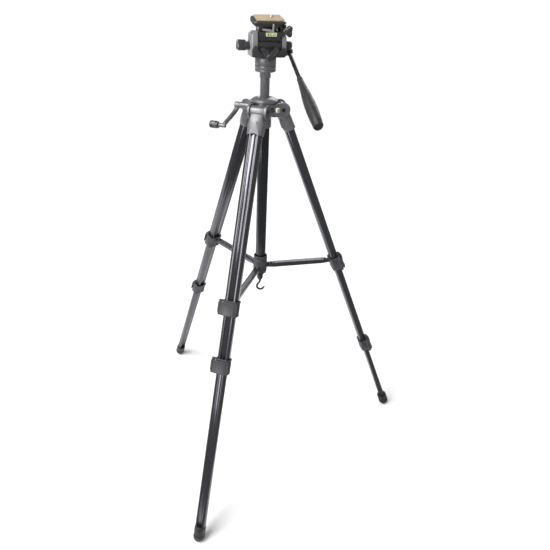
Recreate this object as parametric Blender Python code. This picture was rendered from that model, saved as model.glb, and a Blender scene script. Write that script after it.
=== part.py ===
"""Photo tripod with a three-way fluid head, as an assembly of separate pieces.

The column stands on the Z axis of an empty called tripod. The front leg points along -Y, and the
other two stand 120 degrees round from it. Each moving body hangs from an empty on its joint axis.
All sizes are in millimetres, and the meshes are scaled to metres as they are made.
"""
import math

import bmesh
import bpy
from mathutils import Matrix, Vector

MM = 0.001

# Stance: pivots of the legs, their spread and how far they fold in.
PIVOT_HEIGHT = 1000.0
PIVOT_RADIUS = 41.1
SPLAY = 22.19
LEG_AZIMUTHS = {"front": 0.0, "right": 120.0, "left": 240.0}

# Leg tubes as (width, depth, corner radius), outside.
TUBE_WALL = 1.1
UPPER_TUBE = (33.5, 22.3, 7.0)
MIDDLE_TUBE = (30.0, 19.6, 6.0)
LOWER_TUBE = (26.4, 14.8, 5.0)
FIT_GAP = 0.35

# Sides of the round pieces on the column axis.
ROUND_SIDES = 24

# Places along a leg, measured down from its pivot.
UPPER_TUBE_TOP = 34.5
LOCK_ONE_DOWN = 459.0
LOCK_INSERT = 10.0
MIDDLE_LENGTH = 445.0
LOWER_LENGTH = 495.0
MIDDLE_OUT = {"front": 145.1, "right": 327.4, "left": 225.6}
FOOT_RADIUS = 15.0
FOOT_HEIGHT = 14.5
FOOT_DOWN = (PIVOT_HEIGHT - FOOT_HEIGHT) / math.cos(math.radians(SPLAY))

# Flip locks.
LOCK_ONE = (40.0, 30.0, 8.0)
LOCK_TWO = (37.0, 27.5, 8.0)
LOCK_ABOVE = 20.0
LOCK_BELOW = 17.5
LEVER_SPAN = (-15.0, 16.5)
BARREL_SPAN = (-13.6, 16.1)
LEVER_HINGE = (-24.5, -9.0)

# Braces between the sliding hub and the first locks.
HUB_PIN_RADIUS = 24.6
BRACE_HEIGHT = 582.0
BRACE_PIN_OFFSET = 23.5
BRACE_WIDTH = 13.0
BRACE_DEPTH = 12.0
TONGUE_HALF = 2.8

# Centre column and its rack.
TUBE_OUTER = 13.5
TUBE_INNER = 12.7
TUBE_TOP = 985.0
TUBE_BOTTOM = 566.0
COLUMN_OUTER = 10.7
COLUMN_INNER = 9.4
COLUMN_BOTTOM = 690.0
COLUMN_TOP = 1100.0
SHAFT_Y = -16.5
SHAFT_Z = 4.5
PITCH_RADIUS = 5.0
PINION_TEETH = 8
RACK_PITCH = 2 * math.pi * PITCH_RADIUS / PINION_TEETH
RACK_BELOW = 62
RACK_ABOVE = 13

# Crank.
CRANK_THROW = 50.0
CRANK_ANGLE = -11.5
CRANK_HUB_END = -66.4
CRANK_NECK_END = -103.6
CRANK_KNOB_END = -126.0

# Head: pan base on the column, then the pan, tilt and flip axes.
PAN_BASE_BOTTOM = 1067.0
TILT_HEIGHT = 1134.0
HEAD_TURN = 33.0
HEAD_TILT = 11.5
DRUM_RADIUS = 18.0
DRUM_ENDS = (-23.0, 31.4)
CHEEK_LEFT = (-23.6, -37.0)
CHEEK_RIGHT = (32.0, 41.0)
SKIRT_FRONT = -25.6
PAN_KNOB_Z = -20.5
HANDLE_X = 50.5
HANDLE_START = (-5.8, -10.1)
HANDLE_DROP = 25.45
HANDLE_JUNCTION = 97.6
FLIP_X = 38.5
FLIP_Z = 38.8
RELEASE_X = 8.0
RELEASE_Y = -19.5
PLATE_CENTRE = (-0.5, -6.8)
PLATE_BASE = (71.0, 44.5, 5.0)
PLATE_SIZE = (62.0, 41.0, 4.0)
PLATE_LOW = 54.0
PLATE_TOP = 58.0
CORK_TOP = 60.3
SCREW_PLACE = (5.5, -5.5)

AXIS_ORDER = {
    "X": lambda u, v, h: (h, u, v),
    "Y": lambda u, v, h: (u, h, v),
    "Z": lambda u, v, h: (u, v, h),
}


# ---------------------------------------------------------------- outlines

def rounded_rect(width, depth, radius, steps=2):
    """Outline of a rectangle with round corners, centred on the origin."""
    points = []
    for corner, (sign_x, sign_y) in enumerate(((1, 1), (-1, 1), (-1, -1), (1, -1))):
        for step in range(steps + 1):
            angle = math.radians(90 * (corner + step / steps))
            x = sign_x * (width / 2 - radius) + radius * math.cos(angle)
            y = sign_y * (depth / 2 - radius) + radius * math.sin(angle)
            points.append((x, y))
    return points


def shifted(outline, offset):
    """The same outline, moved."""
    return [(u + offset[0], v + offset[1]) for u, v in outline]


def arc(centre, radius, start, end, steps):
    """Points of an arc, from start to end in degrees."""
    points = []
    for step in range(steps + 1):
        angle = math.radians(start + (end - start) * step / steps)
        points.append((centre[0] + radius * math.cos(angle), centre[1] + radius * math.sin(angle)))
    return points


def circle(radius, sides=16, centre=(0.0, 0.0)):
    """Outline of a full circle."""
    return arc(centre, radius, 0, 360 * (sides - 1) / sides, sides - 1)


def lobed(radius, lift, lobes, steps, turn=0.0):
    """Outline of a knob whose radius swells at each lobe."""
    points = []
    for step in range(steps):
        angle = 2 * math.pi * step / steps
        reach = radius + lift * math.cos(lobes * angle)
        turned_angle = angle + math.radians(turn)
        points.append((reach * math.cos(turned_angle), reach * math.sin(turned_angle)))
    return points


# ---------------------------------------------------------------- shapes

def lofted(loops, ring=False):
    """Skin successive loops of points; a ring joins the last to the first, else the ends are capped."""
    shape = bmesh.new()
    rows = [[shape.verts.new(point) for point in points] for points in loops]
    pairs = list(zip(rows, rows[1:]))
    if ring:
        pairs.append((rows[-1], rows[0]))
    else:
        shape.faces.new(rows[0])
        shape.faces.new(rows[-1])
    for first, second in pairs:
        count = len(first)
        for index in range(count):
            after = (index + 1) % count
            shape.faces.new((first[index], first[after], second[after], second[index]))
    bmesh.ops.recalc_face_normals(shape, faces=shape.faces)
    return shape


def loop_at(outline, height, axis="Z"):
    """An outline placed at a height along an axis."""
    return [Vector(AXIS_ORDER[axis](u, v, height)) for u, v in outline]


def prism(outline, low, high, axis="Z"):
    """An outline pushed from low to high along an axis."""
    return lofted([loop_at(outline, low, axis), loop_at(outline, high, axis)])


def box(low, high):
    """A block between two corners."""
    outline = [(low[0], low[1]), (high[0], low[1]), (high[0], high[1]), (low[0], high[1])]
    return prism(outline, low[2], high[2])


def rod(radius, low, high, axis="Z", centre=(0.0, 0.0), sides=16):
    """A plain round bar along an axis."""
    return prism(circle(radius, sides, centre), low, high, axis)


def turned(profile, sides=24, axis="Z", ring=False, centre=(0.0, 0.0)):
    """A profile of (radius, height) points turned about an axis."""
    loops = [loop_at(circle(radius, sides, centre), height, axis) for radius, height in profile]
    return lofted(loops, ring)


def swept(path, radii, sides=8):
    """A round bar along a path of points in one plane, with a radius for each point."""
    points = [Vector(point) for point in path]
    normal = (points[1] - points[0]).cross(points[-1] - points[0]).normalized()
    loops = []
    for index, point in enumerate(points):
        before = points[max(index - 1, 0)]
        after = points[min(index + 1, len(points) - 1)]
        side = (after - before).normalized().cross(normal)
        loops.append([
            point + radii[index] * (side * math.cos(turn) + normal * math.sin(turn))
            for turn in (2 * math.pi * step / sides for step in range(sides))
        ])
    return lofted(loops)


def moved(shape, matrix):
    """The same shape under a matrix."""
    bmesh.ops.transform(shape, matrix=matrix, verts=shape.verts)
    return shape


def about(axis, degrees):
    """Rotation matrix about an axis through the origin."""
    return Matrix.Rotation(math.radians(degrees), 4, axis)


# ---------------------------------------------------------------- objects

def clear_scene():
    """Remove every object, so that the file holds only this model."""
    for thing in list(bpy.data.objects):
        bpy.data.objects.remove(thing)


def finish(name, colour, roughness, metallic):
    """A named Principled material."""
    material = bpy.data.materials.new(name)
    material.use_nodes = True
    shader = material.node_tree.nodes["Principled BSDF"]
    shader.inputs["Base Color"].default_value = (*colour, 1.0)
    shader.inputs["Roughness"].default_value = roughness
    shader.inputs["Metallic"].default_value = metallic
    return material


def temporary(shape):
    """A helper object that is used by a Boolean and then removed."""
    mesh = bpy.data.meshes.new("helper")
    shape.to_mesh(mesh)
    shape.free()
    helper = bpy.data.objects.new("helper", mesh)
    helper.hide_render = True
    helper.display_type = "WIRE"
    bpy.context.scene.collection.objects.link(helper)
    return helper


def make_mesh(name, material, shape, adds=(), cuts=()):
    """The mesh of a piece: a shape with others joined to it and others cut out of it."""
    target = temporary(shape)
    helpers = []
    for operation, shapes in (("UNION", adds), ("DIFFERENCE", cuts)):
        for other in shapes:
            helper = temporary(other)
            modifier = target.modifiers.new(operation, "BOOLEAN")
            modifier.operation = operation
            modifier.object = helper
            helpers.append(helper)
    graph = bpy.context.evaluated_depsgraph_get()
    mesh = bpy.data.meshes.new_from_object(target.evaluated_get(graph))
    for helper in [target, *helpers]:
        bpy.data.objects.remove(helper)
    mesh.name = name
    mesh.transform(Matrix.Scale(MM, 4))
    mesh.materials.clear()
    mesh.materials.append(material)
    mesh.shade_smooth()
    mesh.set_sharp_from_angle(angle=math.radians(35))
    return mesh


def place(name, mesh, body):
    """An object that shows a mesh in its body's frame."""
    thing = bpy.data.objects.new(name, mesh)
    thing.parent = body
    bpy.context.scene.collection.objects.link(thing)
    return thing


def pivot(name, parent, position=(0.0, 0.0, 0.0), turn=None):
    """An empty on a joint's axis, which carries one body."""
    empty = bpy.data.objects.new(name, None)
    empty.parent = parent
    empty.matrix_local = Matrix.Translation(Vector(position) * MM) @ (turn or Matrix())
    bpy.context.scene.collection.objects.link(empty)
    return empty


# ---------------------------------------------------------------- spider and centre tube

def column_offset():
    """Distance of the column axis from the middle of the footprint, along Y."""
    foot_circle = PIVOT_RADIUS + FOOT_DOWN * math.sin(math.radians(SPLAY))
    return foot_circle / 4


def spider_mesh(material):
    """Casting that holds the legs: drum, three pairs of ears with axles, webs between, crank boss."""
    adds = [rod(17.0, -43.0, -12.0, sides=ROUND_SIDES)]
    ear = arc((-PIVOT_RADIUS, 0.0), 16.0, 90, 270, 8) + [(-14.0, -16.0), (-14.0, 12.0)]
    web = [(-13.5, -34.0), (13.5, -34.0), (4.0, -20.0), (-4.0, -20.0)]
    for azimuth in LEG_AZIMUTHS.values():
        around = about("Z", azimuth)
        for side in (-1, 1):
            adds.append(moved(prism(ear, 17.4 * side, 22.4 * side, "X"), around))
        adds.append(moved(rod(4.0, -19.0, 19.0, "X", (-PIVOT_RADIUS, 0.0), 12), around))
        adds.append(moved(prism(web, -9.0, 13.0), about("Z", azimuth + 60)))
    adds.append(rod(7.5, -51.7, -12.0, "X", (SHAFT_Y, SHAFT_Z)))
    shelf = box((-7.0, -50.0, -4.0), (5.0, -30.0, -1.3))
    adds.append(moved(shelf, about("Z", 60)))
    cuts = [
        rod(COLUMN_OUTER + 0.4, -30.0, 20.0, sides=ROUND_SIDES),
        rod(TUBE_OUTER + 0.3, -60.0, -14.7, sides=ROUND_SIDES),
        box((-3.7, -13.2, -16.0), (3.7, -8.0, 20.0)),
        rod(6.5, -4.4, 4.4, "X", (SHAFT_Y, SHAFT_Z)),
        rod(2.9, -60.0, 10.0, "X", (SHAFT_Y, SHAFT_Z), 12),
    ]
    drum = turned([(24.5, -14.0), (26.5, -11.0), (26.5, 14.2)], ROUND_SIDES)
    return make_mesh("spider", material, drum, adds, cuts)


def spider_cap_mesh(material):
    """Domed collar on the spider, with a notch that lets the rack through."""
    rim = 30.5
    dome = [(rim, 14.6), (rim, 19.2), (29.0, 20.6), (25.0, 22.8), (20.0, 24.6), (15.0, 25.6)]
    bore = rod(COLUMN_OUTER + 0.4, 0.0, 30.0, sides=ROUND_SIDES)
    notch = box((-3.7, -13.2, 0.0), (3.7, -8.0, 30.0))
    return make_mesh("spider_cap", material, turned(dome, ROUND_SIDES), cuts=[bore, notch])


def hook_mesh(material):
    """Flanged end plug of the centre tube, with the J-shaped weight hook below it."""
    wire = 1.8
    bend = 9.5
    path = [(0.0, 0.0, -28.0), (0.0, 0.0, -35.0), (-3.0, 0.0, -41.0), (-7.0, 0.0, -47.0)]
    centre = (1.5, -52.0)
    path += [(x, 0.0, z) for x, z in arc(centre, bend, 180, 335, 8)]
    path.append((centre[0] + bend + 2.5, 0.0, centre[1] + 1.0))
    radii = [wire] * (len(path) - 1) + [wire * 0.7]
    hook = moved(swept(path, radii), about("Z", 16.4))
    plug = turned([(12.3, 14.0), (12.3, -0.3), (16.5, -0.4), (16.5, -3.5), (8.0, -4.0), (8.0, -23.0),
                   (5.0, -29.0)])
    return make_mesh("weight_hook", material, plug, [hook])


def build_spider(root, finishes):
    """The fixed pieces round the centre tube."""
    body = pivot("spider_body", root, (0.0, 0.0, PIVOT_HEIGHT))
    place("spider", spider_mesh(finishes["grey_plastic"]), body)
    place("spider_cap", spider_cap_mesh(finishes["grey_plastic"]), body)
    level = turned([(5.5, -0.9), (5.5, 8.2), (4.6, 9.4)], 16, centre=(39.3, -24.0))
    place("bubble_level", make_mesh("bubble_level", finishes["chrome"], level), body)
    tube = turned([
        (TUBE_OUTER, TUBE_TOP), (TUBE_OUTER, TUBE_BOTTOM), (TUBE_INNER, TUBE_BOTTOM), (TUBE_INNER, TUBE_TOP),
    ], ROUND_SIDES, ring=True)
    place("centre_tube", make_mesh("centre_tube", finishes["black_tube"], tube), root)
    end = pivot("tube_end", root, (0.0, 0.0, TUBE_BOTTOM))
    place("weight_hook", hook_mesh(finishes["steel"]), end)


# ---------------------------------------------------------------- legs

def tube_shape(size, low, high):
    """An open leg tube."""
    width, depth, radius = size
    outer = rounded_rect(width, depth, radius)
    inner = rounded_rect(width - 2 * TUBE_WALL, depth - 2 * TUBE_WALL, radius - TUBE_WALL)
    loops = [loop_at(outer, high), loop_at(outer, low), loop_at(inner, low), loop_at(inner, high)]
    return lofted(loops, True)


def enlarged(size, gap):
    """Outline of a tube with room round it."""
    width, depth, radius = size
    return rounded_rect(width + 2 * gap, depth + 2 * gap, radius + gap)


def bracket_mesh(material):
    """Top fitting of a leg: a knuckle on the axle, and a socket for the tube."""
    stages = [
        (33.8, 21.0, 5.0, -3.0), (33.8, 25.0, 6.0, -17.5), (40.5, 26.5, 7.0, -26.0),
        (40.0, 26.5, 7.5, -42.0), (37.6, 26.2, 8.0, -53.0),
    ]
    loops = [loop_at(rounded_rect(width, depth, radius), z) for width, depth, radius, z in stages]
    knuckle = rod(13.0, -16.9, 16.9, "X", sides=24)
    cuts = [rod(4.4, -30.0, 30.0, "X", sides=12), prism(enlarged(UPPER_TUBE, 0.3), -70.0, -33.5)]
    return make_mesh("leg_bracket", material, lofted(loops), [knuckle], cuts)


def lock_mesh(name, material, size, upper, lower, lug_height=None):
    """Flip-lock collar: it clamps the upper tube, guides the lower one and holds the lever's pin."""
    width, depth, radius = size
    full = rounded_rect(width, depth, radius)
    edge = rounded_rect(width - 2, depth - 2, radius - 1)
    top, low = LOCK_ABOVE, -LOCK_BELOW
    step = -LOCK_INSERT - 1.0
    loops = [
        loop_at(edge, top), loop_at(full, top - 1), loop_at(full, low + 1), loop_at(edge, low),
        loop_at(enlarged(lower, FIT_GAP), low), loop_at(enlarged(lower, FIT_GAP), step),
        loop_at(enlarged(upper, FIT_GAP), step), loop_at(enlarged(upper, FIT_GAP), top),
    ]
    inset = (LOCK_ONE[0] - width) / 2
    hinge = (LEVER_HINGE[0] + inset, LEVER_HINGE[1])
    root_x = 2.5 - width / 2
    ear = [(root_x, hinge[1] + 4.2)] + arc(hinge, 4.2, 90, 270, 6) + [(root_x, hinge[1] - 3.0)]
    adds = [prism(ear, base, base + 3.6) for base in (low, top - 3.6)]
    adds.append(rod(1.5, low + 2, top - 2, centre=hinge, sides=8))
    cuts = []
    if lug_height is not None:
        pin = (BRACE_PIN_OFFSET, lug_height)
        root_y = depth / 2 - 2.0
        outline = [(root_y, top - 0.5)] + arc(pin, 5.0, 100, -60, 6) + [(root_y, top - 15.0)]
        adds.append(prism(outline, -TONGUE_HALF, TONGUE_HALF, "X"))
        cuts.append(rod(2.4, -5.0, 5.0, "X", pin, 12))
    return make_mesh(name, material, lofted(loops, True), adds, cuts)


def lever_mesh(name, material, inset):
    """Lever of a flip lock: a curved panel across the front of the collar, with its hinge barrel."""
    left, right = -28.0 + inset, 19.5 - inset
    panel = []
    thickness = 3.4
    samples = 8
    for index in range(samples + 1):
        x = left + (right - left) * index / samples
        panel.append((x, inset - 22.5 + 5.5 * ((x + 4.0) / 24.0) ** 2))
    outline = panel + [(x, y + thickness) for x, y in reversed(panel)]
    hinge = (LEVER_HINGE[0] + inset, LEVER_HINGE[1])
    low, high = BARREL_SPAN
    web = box((hinge[0] - 3.0, inset - 17.0, low), (hinge[0] + 3.0, hinge[1] - 2.0, high))
    adds = [rod(4.1, low, high, centre=hinge), web]
    bore = rod(1.9, -30.0, 30.0, centre=hinge, sides=12)
    shape = make_mesh(name, material, prism(outline, *LEVER_SPAN), adds, [bore])
    shape.transform(Matrix.Translation(Vector((-hinge[0], -hinge[1], 0.0)) * MM))
    return shape


def foot_mesh(material):
    """Rubber ball foot with a ferrule; its small flat lies on the ground."""
    flat = math.sqrt(FOOT_RADIUS ** 2 - FOOT_HEIGHT ** 2)
    profile = [(flat, -FOOT_HEIGHT)]
    for latitude in (-50, -25, 0, 25):
        angle = math.radians(latitude)
        profile.append((FOOT_RADIUS * math.cos(angle), FOOT_RADIUS * math.sin(angle)))
    ball = moved(turned(profile, 24), about("X", SPLAY))
    ferrule = turned([(12.0, 4.0), (14.4, 8.0), (14.4, 27.0), (13.6, 28.5)])
    socket = prism(enlarged(LOWER_TUBE, 0.3), 12.0, 40.0)
    return make_mesh("foot", material, ball, [ferrule], [socket])


def brace_places():
    """Height of the brace pin above lock one's centre, and the pin-to-pin length of a brace."""
    splay = math.radians(SPLAY)
    drop = PIVOT_HEIGHT - BRACE_HEIGHT
    down = (drop - BRACE_PIN_OFFSET * math.sin(splay)) / math.cos(splay)
    radius = PIVOT_RADIUS + down * math.sin(splay) - BRACE_PIN_OFFSET * math.cos(splay)
    return LOCK_ONE_DOWN - down, radius - HUB_PIN_RADIUS


def build_legs(root, finishes):
    """Three legs of two telescoping sections each, with their locks and feet."""
    lug_height = brace_places()[0]
    bracket = bracket_mesh(finishes["grey_plastic"])
    upper = make_mesh("upper", finishes["leg_tube"],
                      tube_shape(UPPER_TUBE, -LOCK_ONE_DOWN - LOCK_INSERT, -UPPER_TUBE_TOP))
    middle = make_mesh("middle", finishes["leg_tube"], tube_shape(MIDDLE_TUBE, -LOCK_INSERT, MIDDLE_LENGTH))
    lower = make_mesh("lower", finishes["leg_tube"], tube_shape(LOWER_TUBE, 12.6, LOWER_LENGTH))
    foot = foot_mesh(finishes["rubber"])
    plastic = finishes["dark_plastic"]
    lock_one = lock_mesh("lock_one", plastic, LOCK_ONE, UPPER_TUBE, MIDDLE_TUBE, lug_height)
    lock_two = lock_mesh("lock_two", plastic, LOCK_TWO, MIDDLE_TUBE, LOWER_TUBE)
    inset = (LOCK_ONE[0] - LOCK_TWO[0]) / 2
    lever_one = lever_mesh("lever_one", plastic, 0.0)
    lever_two = lever_mesh("lever_two", plastic, inset)
    for side, azimuth in LEG_AZIMUTHS.items():
        around = about("Z", azimuth)
        start = around @ Vector((0.0, -PIVOT_RADIUS, PIVOT_HEIGHT))
        leg = pivot(f"leg_{side}", root, start, around @ about("X", -SPLAY))
        place(f"leg_bracket_{side}", bracket, leg)
        place(f"upper_tube_{side}", upper, leg)
        knee = pivot(f"knee_{side}", leg, (0.0, 0.0, -LOCK_ONE_DOWN))
        place(f"upper_lock_{side}", lock_one, knee)
        place(f"upper_lever_{side}", lever_one, pivot(f"upper_flip_{side}", knee, (*LEVER_HINGE, 0.0)))
        section = pivot(f"middle_section_{side}", knee, (0.0, 0.0, -MIDDLE_OUT[side]))
        place(f"middle_tube_{side}", middle, section)
        place(f"lower_lock_{side}", lock_two, section)
        hinge = (LEVER_HINGE[0] + inset, LEVER_HINGE[1], 0.0)
        place(f"lower_lever_{side}", lever_two, pivot(f"lower_flip_{side}", section, hinge))
        end = pivot(f"lower_section_{side}", leg, (0.0, 0.0, -FOOT_DOWN))
        place(f"lower_tube_{side}", lower, end)
        place(f"foot_{side}", foot, end)


# ---------------------------------------------------------------- hub and braces

def hub_mesh(material):
    """Sleeve that slides on the centre tube, with a tongue for each brace."""
    profile = [(16.8, 32.0), (18.0, 30.5), (18.0, -14.5), (16.8, -16.0), (14.1, -16.0), (14.1, 24.0),
               (15.6, 24.5), (15.6, 32.0)]
    adds, cuts = [], []
    for azimuth in LEG_AZIMUTHS.values():
        pin = (-HUB_PIN_RADIUS, 0.0)
        outline = [(-16.0, -8.0), (-16.0, 8.0)] + arc(pin, 5.0, 80, 280, 6)
        adds.append(moved(prism(outline, -TONGUE_HALF, TONGUE_HALF, "X"), about("Z", azimuth)))
        cuts.append(moved(rod(2.4, -5.0, 5.0, "X", pin, 12), about("Z", azimuth)))
    return make_mesh("brace_hub", material, turned(profile, ROUND_SIDES, ring=True), adds, cuts)


def brace_mesh(name, material, full, reach, side):
    """Half of a brace from its pin at the origin: a fork, then a bar on one side only."""
    half = BRACE_DEPTH / 2
    outline = arc((0.0, 0.0), 5.0, 110, -110, 8)
    outline += [(-12.0, -half), (-full, -half), (-full, half), (-12.0, half)]
    width = BRACE_WIDTH / 2
    low, high = sorted((side * 0.25, side * width))
    bar = box((low, -reach, -half), (high, 2.0 - full, half))
    pin = rod(2.0, -width + 0.5, width - 0.5, "X", sides=12)
    fork = box((-TONGUE_HALF - 0.3, -13.0, -10.0), (TONGUE_HALF + 0.3, 10.0, 10.0))
    shape = make_mesh(name + "_fork", material, prism(outline, -width, width, "X"), cuts=[fork])
    joined = bmesh.new()
    joined.from_mesh(shape)
    bmesh.ops.scale(joined, vec=(1 / MM,) * 3, verts=joined.verts)
    return make_mesh(name, material, joined, [bar, pin])


def build_braces(root, finishes):
    """The hub and, for each leg, a brace in two halves that lap side by side."""
    hub = pivot("hub", root, (0.0, 0.0, BRACE_HEIGHT))
    place("brace_hub", hub_mesh(finishes["dark_plastic"]), hub)
    lug_height, length = brace_places()
    inner = brace_mesh("brace_inner", finishes["leg_tube"], 64.0, 103.0, -1)
    outer = brace_mesh("brace_outer", finishes["leg_tube"], 18.0, 57.0, -1)
    for side, azimuth in LEG_AZIMUTHS.items():
        around = about("Z", azimuth)
        arm = pivot(f"brace_inner_body_{side}", hub, around @ Vector((0.0, -HUB_PIN_RADIUS, 0.0)), around)
        place(f"brace_inner_{side}", inner, arm)
        pin = around @ Vector((0.0, -HUB_PIN_RADIUS - length, 0.0))
        arm = pivot(f"brace_outer_body_{side}", hub, pin, around @ about("Z", 180))
        place(f"brace_outer_{side}", outer, arm)


# ---------------------------------------------------------------- column and crank

def column_mesh(material):
    """Sliding column with a rack of teeth down its front."""
    tube = turned([
        (COLUMN_OUTER, COLUMN_TOP), (COLUMN_OUTER, COLUMN_BOTTOM),
        (COLUMN_INNER, COLUMN_BOTTOM), (COLUMN_INNER, COLUMN_TOP),
    ], ROUND_SIDES, ring=True)
    root_y, tip_y, tooth = -10.8, -12.3, 0.95
    mesh_height = PIVOT_HEIGHT + SHAFT_Z
    outline = []
    for index in range(-RACK_BELOW, RACK_ABOVE + 1):
        z = mesh_height + (index + 0.5) * RACK_PITCH
        outline += [(root_y, z - tooth), (tip_y, z), (root_y, z + tooth)]
    top = outline[-1][1] + 2.0
    bottom = outline[0][1] - 2.0
    outline += [(root_y, top), (-10.0, top), (-10.0, bottom), (root_y, bottom)]
    return make_mesh("column_tube", material, tube, [prism(outline, -3.0, 3.0, "X")])


def pinion_mesh(material):
    """Crank shaft with the pinion that drives the rack."""
    outline = []
    for tooth in range(PINION_TEETH):
        middle = 360.0 * tooth / PINION_TEETH
        for radius, spread in ((4.1, -15.0), (5.55, -4.6), (5.55, 4.6), (4.1, 15.0)):
            angle = math.radians(middle + spread)
            outline.append((radius * math.cos(angle), radius * math.sin(angle)))
    shaft = rod(2.5, -62.0, 8.5, "X", sides=12)
    return make_mesh("pinion_shaft", material, prism(outline, -3.6, 3.6, "X"), [shaft])


def crank_mesh(material):
    """Crank arm: a hub on the shaft, a slanted arm, and a neck with the knob's spindle."""
    hub = turned([(6.6, CRANK_HUB_END), (7.4, CRANK_HUB_END + 1.2), (7.4, -52.1)], 20, "X")
    knee = (-59.0, 0.0, -1.0)
    path = [knee, (-63.0, 0.0, -11.0), (-74.0, 0.0, -27.0), (-88.0, 0.0, -44.0), (-91.0, 0.0, -50.0)]
    arm = swept(path, [5.6, 5.4, 4.8, 4.8, 4.6], 10)
    neck = turned([(4.4, -86.0), (5.0, -88.0), (5.0, CRANK_NECK_END)], 16, "X", centre=(0.0, -CRANK_THROW))
    spindle = rod(2.6, -118.0, -102.0, "X", (0.0, -CRANK_THROW), 12)
    bore = rod(2.8, -63.0, -40.0, "X", sides=12)
    return make_mesh("crank_arm", material, hub, [arm, neck, spindle], [bore])


def build_column(root, finishes):
    """The sliding column and the crank that lifts it."""
    column = pivot("column", root)
    place("column_tube", column_mesh(finishes["leg_tube"]), column)
    rim = PAN_BASE_BOTTOM + 14.0
    top = PAN_BASE_BOTTOM + 44.0
    base = turned([
        (12.0, PAN_BASE_BOTTOM), (12.5, PAN_BASE_BOTTOM + 1), (12.5, rim), (22.5, rim), (23.5, rim + 1.5),
        (23.5, top - 1.0), (22.5, top),
    ], ROUND_SIDES)
    bore = rod(COLUMN_OUTER + 0.3, PAN_BASE_BOTTOM - 5, COLUMN_TOP + 0.5, sides=ROUND_SIDES)
    place("pan_base", make_mesh("pan_base", finishes["grey_plastic"], base, cuts=[bore]), column)
    shaft = pivot("crank", root, (0.0, SHAFT_Y, PIVOT_HEIGHT + SHAFT_Z))
    place("pinion_shaft", pinion_mesh(finishes["steel"]), shaft)
    tilted = pivot("crank_rest_angle", shaft, turn=about("X", CRANK_ANGLE))
    place("crank_arm", crank_mesh(finishes["grey_plastic"]), tilted)
    knob = turned([
        (7.4, CRANK_KNOB_END), (8.75, CRANK_KNOB_END + 2), (8.75, CRANK_NECK_END - 1.5),
        (7.6, CRANK_NECK_END - 0.5),
    ], 20, "X")
    bore = rod(2.9, -118.5, -100.0, "X", sides=12)
    holder = pivot("crank_knob_body", tilted, (0.0, 0.0, -CRANK_THROW))
    place("crank_knob", make_mesh("crank_knob", finishes["black_plastic"], knob, cuts=[bore]), holder)


# ---------------------------------------------------------------- head

def yoke_mesh(material):
    """Floor of the head, cupped under the drum, with a skirt in front and a post on the pan base."""
    left, right = DRUM_ENDS
    floor = prism(shifted(rounded_rect(right - left, 38.0, 6.0), ((left + right) / 2, 0.0)), -21.4, -5.0)
    skirt = [(-36.5, -19.0), (-36.5, -5.0), (-31.0, 2.0), (-27.0, 2.5), (-20.0, -10.0), (24.0, -10.0)]
    skirt += [(32.0, -2.0), (37.0, -2.0), (40.5, -8.0), (40.5, -17.0), (35.0, -21.0), (-33.0, -21.0)]
    adds = [
        rod(10.0, -22.4, -20.0, sides=24),
        prism(skirt, SKIRT_FRONT, -22.9, "Y"),
        box((-20.0, -24.0, -21.2), (28.0, -15.0, -10.5)),
        rod(2.6, -32.0, -24.0, "Y", (0.0, PAN_KNOB_Z), 12),
    ]
    cup = rod(DRUM_RADIUS + 0.7, -50.0, 50.0, "X", sides=32)
    return make_mesh("pan_yoke", material, floor, adds, [cup])


def cheek_mesh(name, material, faces, crest):
    """Side plate of the head between two faces, with the bore of the tilt axle; crest is its upper edge."""
    inner, outer = faces
    outline = [(-20.0, -21.0), (18.0, -21.0), (20.5, -16.0), (18.5, 8.0), *crest, (-22.2, -16.0)]
    bevel = [(y * 0.92, z * 0.94) for y, z in outline]
    middle = outer + 2.5 * (-1 if outer > inner else 1)
    loops = [loop_at(outline, inner, "X"), loop_at(outline, middle, "X"), loop_at(bevel, outer, "X")]
    return make_mesh(name, material, lofted(loops), cuts=[rod(5.0, -60.0, 60.0, "X", sides=20)])


def drum_mesh(material):
    """Tilting drum with its axle, the neck and block above it, and the lugs and pin of the flip hinge."""
    block = box((-21.5, -18.0, 25.0), (30.5, 14.0, 34.0))
    neck = box((-21.5, -11.0, 6.0), (30.5, 11.0, 26.0))
    axle = rod(4.6, -42.0, 46.0, "X", sides=20)
    stub = rod(3.0, -60.0, -40.0, "X", sides=12)
    lug = [(26.0, 30.0), (30.0, 30.0)] + arc((FLIP_X, FLIP_Z), 4.5, -80, 90, 6) + [(26.0, 43.0)]
    adds = [block, neck, axle, stub]
    adds += [prism(lug, low, high, "Y") for low, high in ((-18.0, -13.0), (9.0, 14.0))]
    adds.append(rod(2.2, -30.0, 12.0, "Y", (FLIP_X, FLIP_Z), 12))
    return make_mesh("tilt_drum", material, rod(DRUM_RADIUS, *DRUM_ENDS, "X", sides=32), adds)


def handle_frame():
    """Matrix whose local X runs down the handle from its socket, in the untilted head."""
    turn = Matrix(((0, 1, 0, 0), (-1, 0, 0, 0), (0, 0, 1, 0), (0, 0, 0, 1)))
    start = Matrix.Translation((HANDLE_X, *HANDLE_START))
    return start @ about("X", HANDLE_DROP) @ turn


def socket_mesh(material):
    """Boss on the end of the tilt axle, which holds the handle's rod."""
    boss = turned([(9.5, CHEEK_RIGHT[1] + 0.6), (9.5, 56.0), (8.0, 58.0)], 24, "X")
    sleeve = moved(turned([(8.2, -16.0), (9.0, -14.5), (9.0, 4.5), (8.2, 6.0)], 20, "X"), handle_frame())
    rod_bore = moved(rod(4.8, -10.0, 30.0, "X"), handle_frame())
    axle_bore = rod(4.9, 30.0, 46.6, "X", sides=20)
    return make_mesh("handle_socket", material, boss, [sleeve], [axle_bore, rod_bore])


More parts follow.
